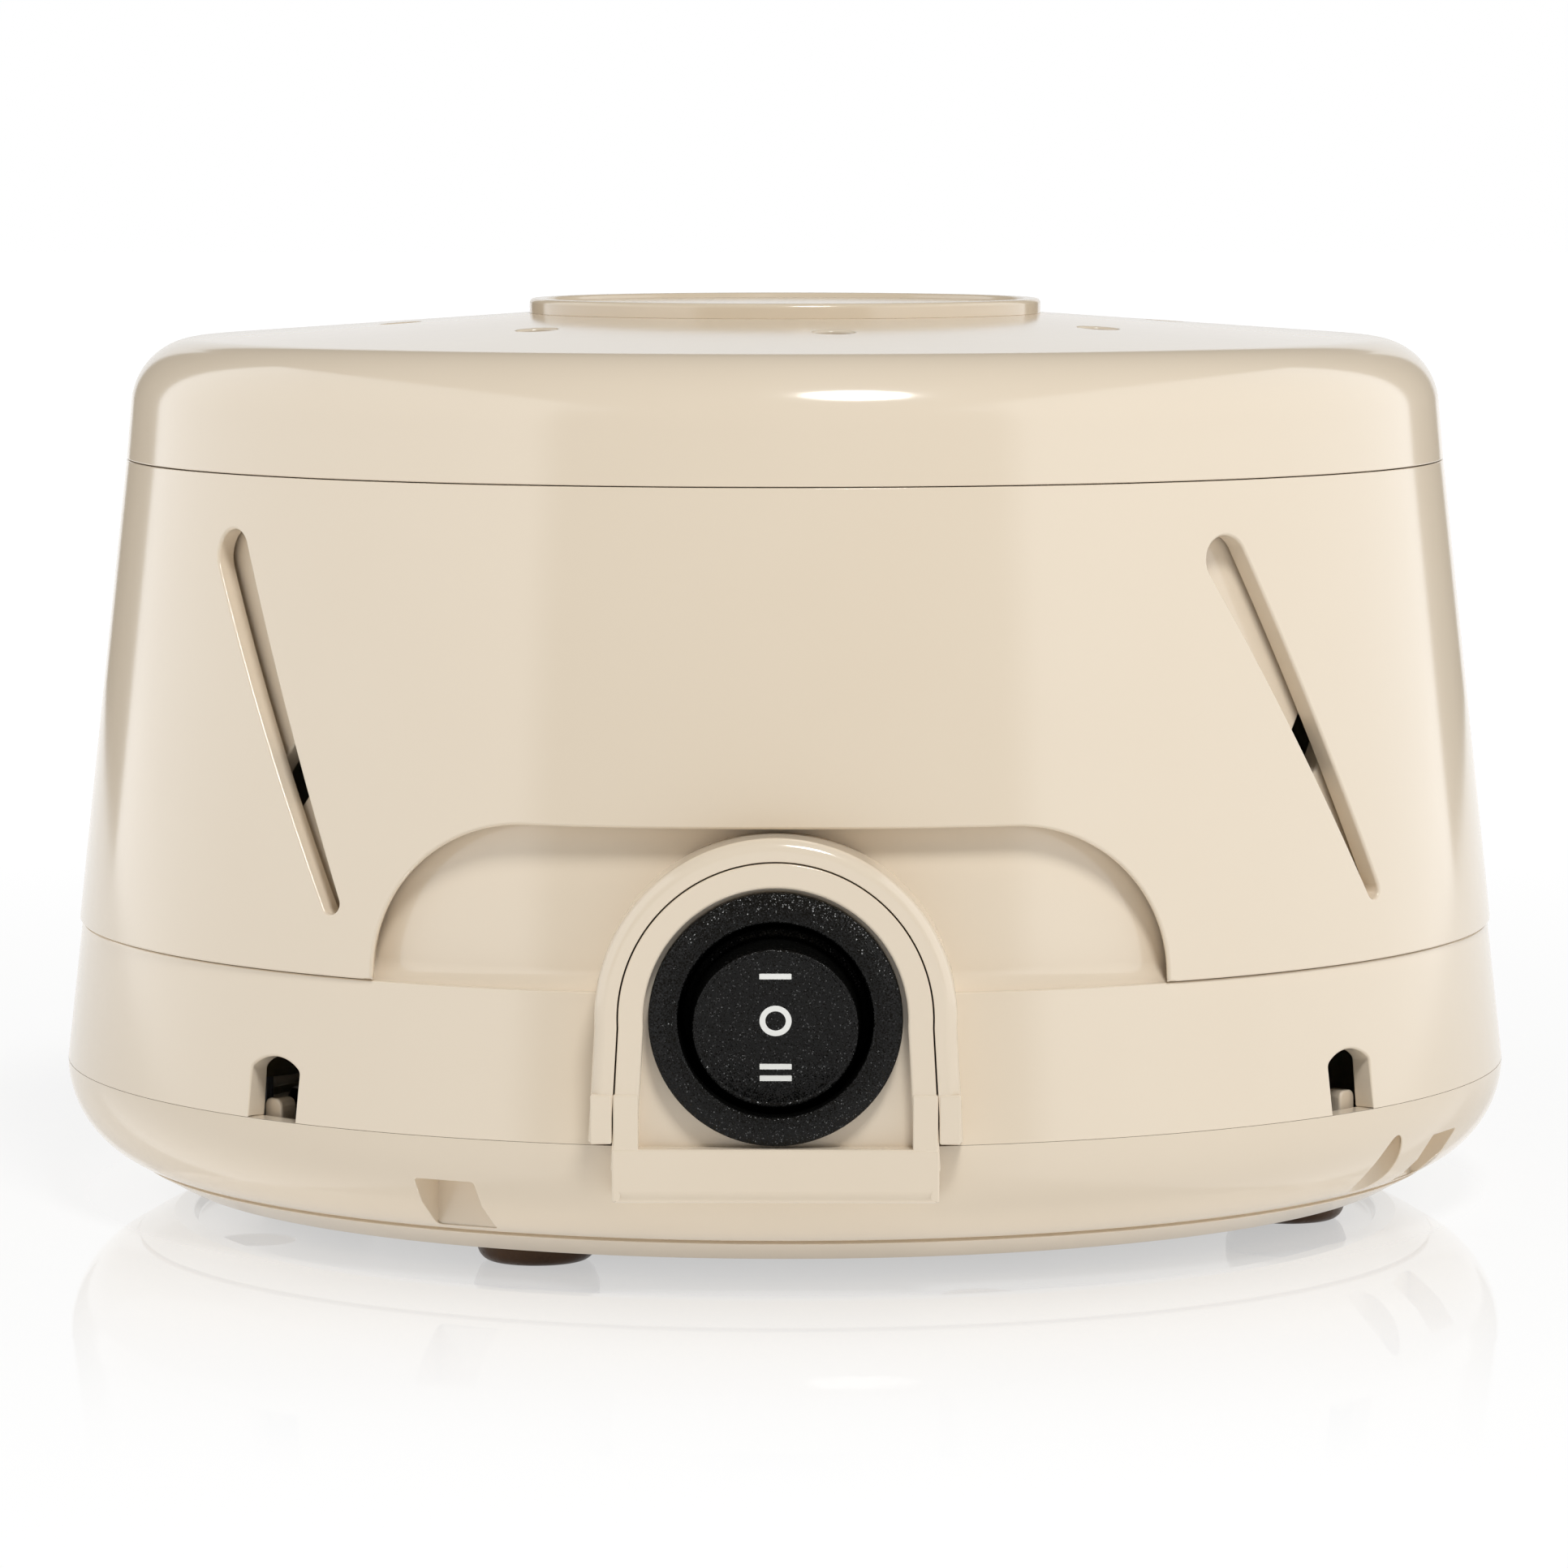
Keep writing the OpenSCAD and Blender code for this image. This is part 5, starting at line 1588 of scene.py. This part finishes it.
    def bosses(self, draft: MeshDraft) -> None:
        """Adds the pad of the cord inlet and the screw bosses inside.

        Args:
            draft: Draft that takes the faces.
        """
        env = self.env
        root, end = self.inlet_root_y, self.inlet_pad_y
        ring = Profile([
            (self.inlet_pad_r - 1, root, 0.2), (self.inlet_pad_r, root, 0.2), (self.inlet_pad_r, end, 0.3),
            (self.inlet_hole_r, end, 0.2), (self.inlet_hole_r, root, 0.2),
        ])
        Turned(ring, 96, Axis.BACK, (0, 0, self.inlet_z)).skin(draft)
        low, high = env.seam_z, env.seam_z + self.boss_h
        tube = Profile([
            (self.screw_pilot_r, low, 0.2), (self.boss_r, low, 0.2), (self.boss_r, high, 0.3),
            (self.screw_pilot_r, high, 0.2),
        ])
        for quarter in QUARTERS:
            centre = (*polar(self.screw_ring_r, self.screw_angle + quarter), 0)
            Turned(tube, 48, Axis.UP, centre).skin(draft)


@dataclass
class Pan:
    """Bottom pan with its latch pockets, and the upright plate that carries the switch.

    The crease gives the bottom and the crest of the fine groove above the foot ring, as radius and
    height from the place where the round of the pan starts.
    """

    env: Envelope = ENVELOPE
    housing: Housing = field(default_factory=Housing)
    round_r: float = 10.36
    sweep: float = 66.9
    ring_z: float = 2.0
    ring_out_r: float = 62.4
    ring_in_r: float = 60.4
    pocket_angle: float = 64.4
    pocket_half_w: float = 3.15
    pocket_back_r: float = 67.3
    pocket_wall: float = 1.2
    pocket_top_z: float = 9.8
    relief_angle: float = 55.5
    relief_ring_r: float = 69.85
    relief_r: float = 2.45
    relief_top_z: float = 11.0
    screw_seat_z: float = 9.0
    counterbore_r: float = 3.8
    plate_r: float = 14.46
    pocket_r: float = 12.15
    pocket_depth: float = 2.0
    plate_t: float = 2.5
    apron_low_z: float = 9.0
    apron_round: float = 1.3
    panel_hole_r: float = 10.0
    tab_w: float = 2.3
    tab_h: float = 1.6
    tab_shift: float = 2.6
    tab_t: float = 2.0
    tab_inset: float = 1.6
    tab_root: float = 2.7
    crease: tuple[tuple[float, float], ...] = ((-0.35, -0.38), (-0.8, -0.06))

    def profile(self) -> Profile:
        """Cross-section from the middle of the underside round the rim to the middle of the floor.

        Returns:
            The open profile.
        """
        env = self.env
        x, z = env.body_r - self.round_r, env.seam_z
        low = math.radians(self.sweep)
        foot = np.array([x, z]) + self.round_r * np.array([math.cos(low), -math.sin(low)])
        lead = foot - 0.4 * np.array([math.sin(low), math.cos(low)])
        half, reach = low / 2, self.round_r / math.cos(low / 2)
        floor = self.ring_z + 1
        inner = self.round_r - env.wall
        (groove_x, groove_z), (crest_x, crest_z) = self.crease
        return Profile([
            (0, floor, 0), (self.ring_in_r - 0.4, floor, 0.3), (self.ring_in_r, self.ring_z, 0.25),
            (self.ring_out_r, self.ring_z, 0.3), (lead[0] + groove_x, lead[1] + groove_z, 0.08),
            (lead[0] + crest_x, lead[1] + crest_z, 0.03), (lead[0], lead[1], 0.1),
            (x + reach * math.cos(half), z - reach * math.sin(half), self.round_r - 0.01),
            (env.body_r, z, 0.03), (env.body_r - env.wall, z, 0.2), (x + inner, z - inner, inner - 0.2),
            (x - 0.3, z - inner, 0.3), (x - 1.5, floor + env.wall, 0.3), (0, floor + env.wall, 0),
        ], closed=False)

    def latch(self, grow: float) -> Outline:
        """Outline of a latch pocket or, where it grows, of the box that closes it inside the pan.

        Args:
            grow: Distance from the edge of the pocket, outwards.

        Returns:
            The outline.
        """
        env, half = self.env, self.pocket_half_w + grow
        reach = self.pocket_back_r - grow - (env.body_r - self.round_r)
        bowl_r = self.round_r - (env.wall if grow else 0)
        low_z = env.seam_z - math.sqrt(bowl_r ** 2 - reach ** 2) + 0.1
        return boxed(-half, low_z, half, self.pocket_top_z + grow, 0.35)

    def build(self) -> None:
        """Builds the pan with its switch plate."""
        housing = self.housing
        surface = Turned(self.profile())
        profile = surface.profile
        draft = MeshDraft()
        side, lining = profile.bend(7), profile.bend(10)
        upwards = np.array([0, 0, 1.0])
        holes: list[np.ndarray] = []
        for quarter in QUARTERS:
            turn = self.pocket_angle + quarter
            way = -np.array([*polar(1, turn), 0])
            pockets = (side, 0.0, -1.0, 0.1), (lining, self.pocket_wall, 1.0, 0.02)
            for wall, grow, sign, edge in pockets:
                latch = self.latch(grow)
                places, back = surface.sideways(wall, turn, latch.points), grow - self.pocket_back_r
                holes += blind(draft, surface, places, latch.level(turn, sign), edge, way, back)
            hole = circle(*polar(housing.screw_ring_r, housing.screw_angle + quarter), self.counterbore_r)
            places = surface.upright(profile.run(0), hole.points)
            holes += blind(draft, surface, places, hole.upright(), 0.2, upwards, self.screw_seat_z)
        hole = circle(*polar(self.relief_ring_r, self.relief_angle), self.relief_r)
        places = surface.upright(side, hole.points)
        holes += blind(draft, surface, places, hole.upright(), 0.12, upwards, self.relief_top_z)
        surface.skin(draft, holes)
        self.plate(draft)
        self.tabs(draft)
        dress(draft.build("pan", SHELL_ABS), "base", "shell", "bottom_pan")

    def arch(self, radius: float, low_z: float, corner: float) -> Outline:
        """Arch outline with spread legs and round lower corners.

        Args:
            radius: Radius of the bow.
            low_z: Height of the lower edge.
            corner: Radius of the lower corners.

        Returns:
            The outline.
        """
        spread, lean = self.housing.legs(low_z)
        x, z = radius + spread - corner, low_z + corner
        return Outline.of([
            (0, self.housing.switch_z, radius, -lean, 180 + lean),
            (-x, z, corner, 180 + lean, 270), (x, z, corner, 270, 360 - lean),
        ])

    def plate(self, draft: MeshDraft) -> None:
        """Adds the plate with the pocket for the switch, and the apron under it.

        Args:
            draft: Draft that takes the faces.
        """
        env, front = self.env, self.housing.arch_y
        back = front + self.pocket_depth + self.plate_t
        slab(
            draft, self.arch(self.plate_r, env.seam_z - 2, 0.3), front + self.housing.pad_step, back, 0.15,
            (self.arch(self.pocket_r, env.seam_z - 1, 0.2), front + self.pocket_depth),
            circle(0, self.housing.switch_z, self.panel_hole_r),
        )
        half_w = self.plate_r + self.housing.leg_spread
        apron = boxed(-half_w, self.apron_low_z, half_w, env.seam_z + 0.15, 0.35)
        lower = np.clip(-apron.outward[:, 1], 0, 1)
        slab(draft, apron, front, back, 0.22 + (self.apron_round - 0.22) * lower)
        for x0, x1 in twin(self.pocket_r + 0.45, half_w - self.housing.pad_gap):
            pad = boxed(x0, env.seam_z - 1, x1, self.housing.pad_top_z, 0.22)
            slab(draft, pad, front + self.housing.pad_inset, front + 1.5, 0.2)

    def tabs(self, draft: MeshDraft) -> None:
        """Adds the posts of the rim that stand in the side windows.

        Args:
            draft: Draft that takes the faces.
        """
        env = self.env
        front = -(env.body_r - env.wall - self.tab_inset) - self.tab_t / 2
        foot_z, top_z, low_r, top_r = env.seam_z - self.tab_root, env.seam_z + self.tab_h, 0.3, 0.8
        for quarter in QUARTERS:
            turn = math.radians(self.housing.window_angle + quarter)
            shift = math.copysign(self.tab_shift, math.sin(turn))
            x0, x1 = shift - self.tab_w / 2, shift + self.tab_w / 2
            post = Outline.of([
                (x0 + low_r, foot_z, low_r, 180, 270), (x1 - low_r, foot_z, low_r, 270, 360),
                (x1 - top_r, top_z - top_r, top_r, 0, 90), (x0 + top_r, top_z - top_r, top_r, 90, 180),
            ])
            tab = MeshDraft()
            slab(tab, post, front, front + self.tab_t, 0.25)
            cos, sin = math.cos(turn), math.sin(turn)
            draft.add(tab, np.array([(cos, -sin, 0), (sin, cos, 0), (0, 0, 1)]), np.zeros(3))


# ---------------------------------------------------------------- switch, feet and inlet


@dataclass
class Switch:
    """Round rocker switch: body with bezel, rocker, and its generic position marks.

    The bezel slope gives the width and the height of the slope round the rim of the bezel.
    """

    y: float = -75.0
    z: float = 26.07
    bezel_r: float = 11.7
    hole_r: float = 9.0
    bezel_h: float = 2.1
    bezel_slope: tuple[float, float] = (1.35, 0.63)
    pocket_depth: float = 2.0
    cavity_y: float = -64.7
    neck_r: float = 9.9
    neck_l: float = 11.0
    end_y: float = -56.5
    rocker_r: float = 7.65
    rise: float = 4.06
    pivot_y: float = -70.7
    skirt_r: float = 8.55
    tilt: float = 12.0
    mark_w: float = 2.95
    bar_h: float = 0.54
    bars_z: tuple[float, float, float] = (5.1, -3.64, -4.77)
    ring_z: float = 0.79
    mark_proud: float = 0.03
    line_h: float = 0.12

    def build(self) -> None:
        """Builds the three pieces."""
        self.body()
        self.rocker()
        self.marks()

    def body(self) -> None:
        """Builds the body with its bezel."""
        flange, face = -(self.y + self.pocket_depth), -(self.y + self.pocket_depth - self.bezel_h)
        end, thin_r, (slope_w, slope_h) = -self.end_y, self.neck_r - 0.5, self.bezel_slope
        surface = Turned(Profile([
            (0, end, 0), (thin_r, end, 0.4), (thin_r, end + self.neck_l, 0.1),
            (self.neck_r, end + self.neck_l + 0.5, 0.1),
            (self.neck_r, flange, 0.15), (self.bezel_r, flange, 0.15), (self.bezel_r, face - slope_h, 0.22),
            (self.bezel_r - slope_w, face, 4.4), (self.hole_r, face, 0.3),
            (self.hole_r, -self.cavity_y, 0.3), (0, -self.cavity_y, 0),
        ], closed=False), 192, Axis.FRONT, (0, 0, self.z))
        dress(surface.piece("switch_case", SWITCH_NYLON), "base", "switch_black", "switch_body")

    def tilted(self, draft: MeshDraft) -> MeshDraft:
        """Turns a draft about the pins to the resting position of the rocker.

        Args:
            draft: Draft of a level piece.

        Returns:
            The turned draft.
        """
        angle = math.radians(self.tilt)
        cos, sin = math.cos(angle), math.sin(angle)
        result = MeshDraft()
        matrix = np.array([(1, 0, 0), (0, cos, -sin), (0, sin, cos)])
        result.add(draft, matrix, np.array([0, self.pivot_y, self.z]))
        return result

    def rocker(self) -> None:
        """Builds the rocker with the fine raised line round its face."""
        pivot = -self.pivot_y
        face, low = pivot + self.rise, pivot + self.rise - self.line_h
        profile = Profile([
            (0, pivot - 1.6, 0), (self.skirt_r, pivot - 1.6, 0.4), (self.skirt_r, pivot + 0.3, 0.35),
            (self.rocker_r + 0.3, pivot + 0.8, 0.4), (self.rocker_r, face, 0.2),
            (self.rocker_r - 0.28, face, 0.1), (self.rocker_r - 0.48, low, 0.12), (0, low, 0),
        ], closed=False)
        draft = MeshDraft()
        Turned(profile, 160, Axis.FRONT, (0, 0, self.z)).skin(draft)
        dress(self.tilted(draft).build("rocker", SWITCH_NYLON), "rocker", "switch_black", "rocker_button")

    def marks(self) -> None:
        """Builds the white bar, ring and double bar on the face of the rocker."""
        face = self.pivot_y - self.rise + self.line_h
        half, bar = self.mark_w / 2, self.bar_h / 2
        top, root, hole_r = face - self.mark_proud, face + 0.1, half - self.bar_h
        draft = MeshDraft()
        for z in self.bars_z:
            slab(draft, boxed(-half, self.z + z - bar, half, self.z + z + bar, 0.06), top, root, 0.02)
        ring = Profile([(hole_r, -root, 0.01), (half, -root, 0.01), (half, -top, 0.02), (hole_r, -top, 0.02)])
        Turned(ring, 96, Axis.FRONT, (0, 0, self.z + self.ring_z)).skin(draft)
        dress(self.tilted(draft).build("position_marks", MARK_INK), "rocker", "switch_black")


@dataclass
class Feet:
    """Four pushed-in rubber feet."""

    ring_r: float = 55.1
    angle: float = 65.2
    top_r: float = 6.0
    low_r: float = 5.2
    height: float = 3.0
    stem_r: float = 2.4
    stem_top: float = 6.7
    barb_r: float = 3.1

    def build(self) -> None:
        """Builds the feet."""
        barb_z = self.stem_top - 1.4
        profile = Profile([
            (0, 0, 0), (self.low_r, 0, 1.5), (self.top_r, self.height - 0.9, 0.8),
            (self.top_r, self.height, 0.15), (self.stem_r, self.height, 0.2), (self.stem_r, barb_z, 0.1),
            (self.barb_r, barb_z, 0.15), (self.stem_r, self.stem_top, 0.3), (0, self.stem_top, 0),
        ], closed=False)
        for quarter, name in zip(QUARTERS, CORNERS):
            centre = (*polar(self.ring_r, self.angle + quarter), 0)
            foot = Turned(profile, 96, Axis.UP, centre).piece("rubber_foot_" + name, FOOT_RUBBER)
            dress(foot, "base", "foot_rubber", "foot_" + name)


@dataclass
class CordInlet:
    """Bush at the rear where a mains cord enters."""

    z: float = 21.0
    bore_r: float = 3.1
    body_r: float = 4.6
    flange_r: float = 6.3
    nut_y: float = 64.4
    pad_y: float = 73.2
    flange_y: float = 74.7
    gland_r: float = 4.7
    end_y: float = 76.32

    def build(self) -> None:
        """Builds the bush."""
        profile = Profile([
            (self.bore_r, self.nut_y, 0.2), (self.body_r, self.nut_y, 0.9), (self.body_r, self.pad_y, 0.1),
            (self.flange_r, self.pad_y, 0.15), (self.flange_r - 0.1, self.flange_y, 0.7),
            (self.gland_r, self.flange_y, 0.3), (self.gland_r - 0.2, self.end_y, 0.4),
            (self.bore_r, self.end_y, 0.5),
        ])
        bush = Turned(profile, 96, Axis.BACK, (0, 0, self.z)).piece("cord_bush", SWITCH_NYLON)
        dress(bush, "base", "switch_black", "cord_inlet")


@dataclass
class InnerWorks:
    """Parts inside the housing, which keep the meshes of the CAD frame and get their finishes."""

    finishes: dict[Finish, tuple[str, ...]] = field(default_factory=lambda: {
        ZINC_STEEL: (
            "housing_screws", "pivot_screw", "pivot_washer", "plate_screws", "motor_screws", "motor_nuts"
        ),
        SHEET_STEEL: ("motor_plate", "fan_clip"),
        LAMINATION: ("stator_core", "core_bar", "rotor_core"),
        GROUND_STEEL: ("motor_shaft",),
        CAST_ZINC: ("upper_bracket", "lower_bracket"),
        BRONZE: ("upper_bush", "lower_bush"),
        BRASS: ("switch_terminals",),
        COPPER: ("shading_rings",),
        WINDING: ("coil_winding",),
        NYLON: ("coil_bobbin", "thrust_washers", "fan_wheel"),
        GROMMET_RUBBER: tuple("grommet_" + corner for corner in CORNERS),
        WIRE_PVC: ("lead_wires",),
    })

    def dress_nodes(self) -> None:
        """Gives each node its finish."""
        for finish, names in self.finishes.items():
            for node in (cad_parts[name] for name in names):
                for slot in node.material_slots:
                    slot.material = finish.material()
                if not node.material_slots:
                    node.data.materials.append(finish.material())
                log.info("%s: %s", node.name, finish.name)


# ---------------------------------------------------------------- studio


@dataclass
class Studio:
    """Floor, lights, world and camera.

    Focal length, picture width and axis are in pixels. Room and glow are levels of light, where 1 is
    white.
    """

    distance: float = 717.456
    height: float = 106.475
    pitch: float = 5.2122
    focal: float = 8698.05
    picture: float = 1932.0
    axis_px: float = 967.3
    sensor: float = 36.0
    heading: float = 0.67
    room: float = 0.05
    floor_glow: float = 1.08
    floor_half: float = 6000.0
    mirror_share: float = 0.36
    card_top: float = 900.0

    def build(self) -> None:
        """Sets up the studio."""
        scene = bpy.context.scene
        scene.view_settings.view_transform = "Standard"
        self.camera()
        self.floor()
        self.world()
        self.softbox("right_softbox", (650, -20, 400), (0, -20, 400), (1500, 800), 0.78)
        self.softbox("left_softbox", (-650, -20, 400), (0, -20, 400), (1500, 800), 0.85)
        self.softbox("front_head", (164, -573, 801), (0, 0, 80), (235, 250), 34.7, "ELLIPSE")
        # The cards are painted reflections: dim glowing sheets that only the gloss of the shells mirrors.
        corners = ((-735, -1500), (735, -1500), (735, 2700), (-735, 2700))
        self.card("ceiling_card", [(x, y, self.card_top) for x, y in corners])
        self.wall_card("front_card", (-1170, -1500), (1170, -1500))
        for side, name in ((-1, "left"), (1, "right")):
            self.wall_card(name + "_rear_card", (side * 614, 658), (side * 308, 846))

    def camera(self) -> None:
        """Places the camera, level in roll, aimed at the axis of the housing."""
        data = bpy.data.cameras.new("camera")
        camera = link("camera", data)
        data.sensor_width = self.sensor
        data.lens = self.focal / self.picture * self.sensor
        data.clip_end = 20
        data.shift_x = -(self.axis_px - self.picture / 2) / self.picture
        camera.location = [x * MM for x in (*polar(self.distance, self.heading), self.height)]
        camera.rotation_euler = (math.radians(90 - self.pitch), 0, math.radians(self.heading))
        bpy.context.scene.camera = camera

    def floor(self) -> None:
        """Lays a white sheet that glows, polished round the object and plain further out. Close round the
        object its seen glow is painted darker as a painted contact shade. The light it gives the object from
        below is a painted glow, cut off under the object as a painted shadow.
        """
        # Cast acrylic: its polished face mirrors the foot of the object faintly.
        material = bpy.data.materials.new("acrylic_white_sheet")
        tree = blank_tree(material)
        place = add_node(tree, "ShaderNodeTexCoord").outputs["Object"]
        reach = add_node(tree, "ShaderNodeVectorMath", {0: place}, operation="LENGTH").outputs["Value"]

        def ramp(near: float, far: float, start: float, end: float) -> bpy.types.NodeSocket:
            """Value that runs from start to end between two distances from the axis."""
            return add_node(tree, "ShaderNodeMapRange", {
                "Value": reach, "From Min": near * MM, "From Max": far * MM, "To Min": start, "To Max": end
            }).outputs["Result"]

        # Painted shade and light: the seen glow falls to 0.88 within 45 mm of the axis as a painted contact
        # shade. The floor glows onto the object from below as a painted glow, which is cut off within 50 mm
        # as a painted shadow under it.
        level = seen_level(tree, ramp(50, 72, 0.0, self.floor_glow), ramp(45, 70, 0.88, 1.055))
        sheet = add_node(tree, "ShaderNodeBsdfDiffuse", {"Color": linear("#F4F4F3")})
        white = add_node(tree, "ShaderNodeEmission", {"Color": (1, 1, 1, 1), "Strength": level})
        lit = add_node(tree, "ShaderNodeMixShader", {
            0: ramp(120, 500, 0.8, 1.0), 1: sheet.outputs["BSDF"], 2: white.outputs["Emission"]
        })
        fade = add_node(tree, "ShaderNodeMath", {0: ramp(70, 170, 1.0, 0.0), 1: 2.0}, operation="POWER")
        share = {0: fade.outputs["Value"], 1: self.mirror_share}
        fade = add_node(tree, "ShaderNodeMath", share, operation="MULTIPLY")
        mirror = add_node(tree, "ShaderNodeBsdfAnisotropic", {"Color": (1, 1, 1, 1), "Roughness": 0.02})
        shader = add_node(tree, "ShaderNodeMixShader", {
            0: fade.outputs["Value"], 1: lit.outputs["Shader"], 2: mirror.outputs["BSDF"]
        })
        add_node(tree, "ShaderNodeOutputMaterial", {"Surface": shader.outputs["Shader"]})
        half = self.floor_half
        corners = (-half, -half, 0), (half, -half, 0), (half, half, 0), (-half, half, 0)
        floor = self.sheet("floor", corners, material)

    def sheet(self, name: str, corners: Sequence[Place], material: bpy.types.Material) -> bpy.types.Object:
        """Makes one flat sheet of the studio.

        Args:
            name: Name of the sheet.
            corners: Its corners in order.
            material: Material of the sheet.

        Returns:
            The sheet.
        """
        mesh = bpy.data.meshes.new(name)
        mesh.from_pydata([[c * MM for c in corner] for corner in corners], [], [range(len(corners))])
        mesh.materials.append(material)
        return link(name, mesh)

    def card(self, name: str, corners: Sequence[Place]) -> None:
        """Hangs one glowing card that only mirror-like surfaces show: a painted dim reflection, like that of
        a wall of the room, which gives no light and casts no shadow.

        Args:
            name: Name of the card.
            corners: Its corners in order.
        """
        # Painted reflection: a dim warm glow that only mirror-like rays see, so the gloss of the shells
        # mirrors a dim, warm room. It lights nothing and casts no shadow.
        material = bpy.data.materials.get("painted_reflection_glow") or bpy.data.materials.new("painted_reflection_glow")
        tree = blank_tree(material)
        glow = add_node(tree, "ShaderNodeEmission", {"Color": linear("#EBD8BF"), "Strength": 0.36})
        add_node(tree, "ShaderNodeOutputMaterial", {"Surface": glow.outputs["Emission"]})
        card = self.sheet(name, corners, material)
        card.visible_camera = card.visible_diffuse = card.visible_shadow = card.visible_transmission = False

    def wall_card(self, name: str, one: Span, other: Span) -> None:
        """Hangs an upright card between two places on the floor."""
        self.card(name, [(*one, 0), (*other, 0), (*other, self.card_top), (*one, self.card_top)])

    def world(self) -> None:
        """Lights the room evenly and shows white behind the object."""
        world = bpy.data.worlds.new("studio")
        bpy.context.scene.world = world
        tree = blank_tree(world)
        light = add_node(tree, "ShaderNodeBackground", {
            "Color": (1, 1, 1, 1), "Strength": seen_level(tree, self.room, 1.0, 0.92)
        })
        add_node(tree, "ShaderNodeOutputWorld", {"Surface": light.outputs["Background"]})

    def softbox(
        self, name: str, place: Place, aim: Place, size: Span, radiance: float, shape: str = "RECTANGLE"
    ) -> None:
        """Hangs one softbox.

        Args:
            name: Name of the light.
            place: Its centre.
            aim: Place that it looks at.
            size: Its width and height.
            radiance: Brightness of its face, where 1 is white.
            shape: Outline of its face.
        """
        data = bpy.data.lights.new(name, "AREA")
        data.shape = shape
        data.size, data.size_y = size[0] * MM, size[1] * MM
        area = size[0] * size[1] * MM ** 2 * (math.pi / 4 if shape == "ELLIPSE" else 1)
        data.energy = radiance * math.pi * area
        lamp = link(name, data)
        lamp.location = Vector(place) * MM
        way = Vector(aim) * MM - lamp.location
        lamp.rotation_euler = way.to_track_quat("-Z", "Y").to_euler()


def main() -> None:
    """Builds the machine."""
    logging.basicConfig(level=logging.INFO)
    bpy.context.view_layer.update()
    Studio().build()
    for part in (Cap(), Collar(), Housing(), Pan(), Switch(), Feet(), CordInlet()):
        part.build()
    InnerWorks().dress_nodes()


if __name__ == "__main__":
    main()
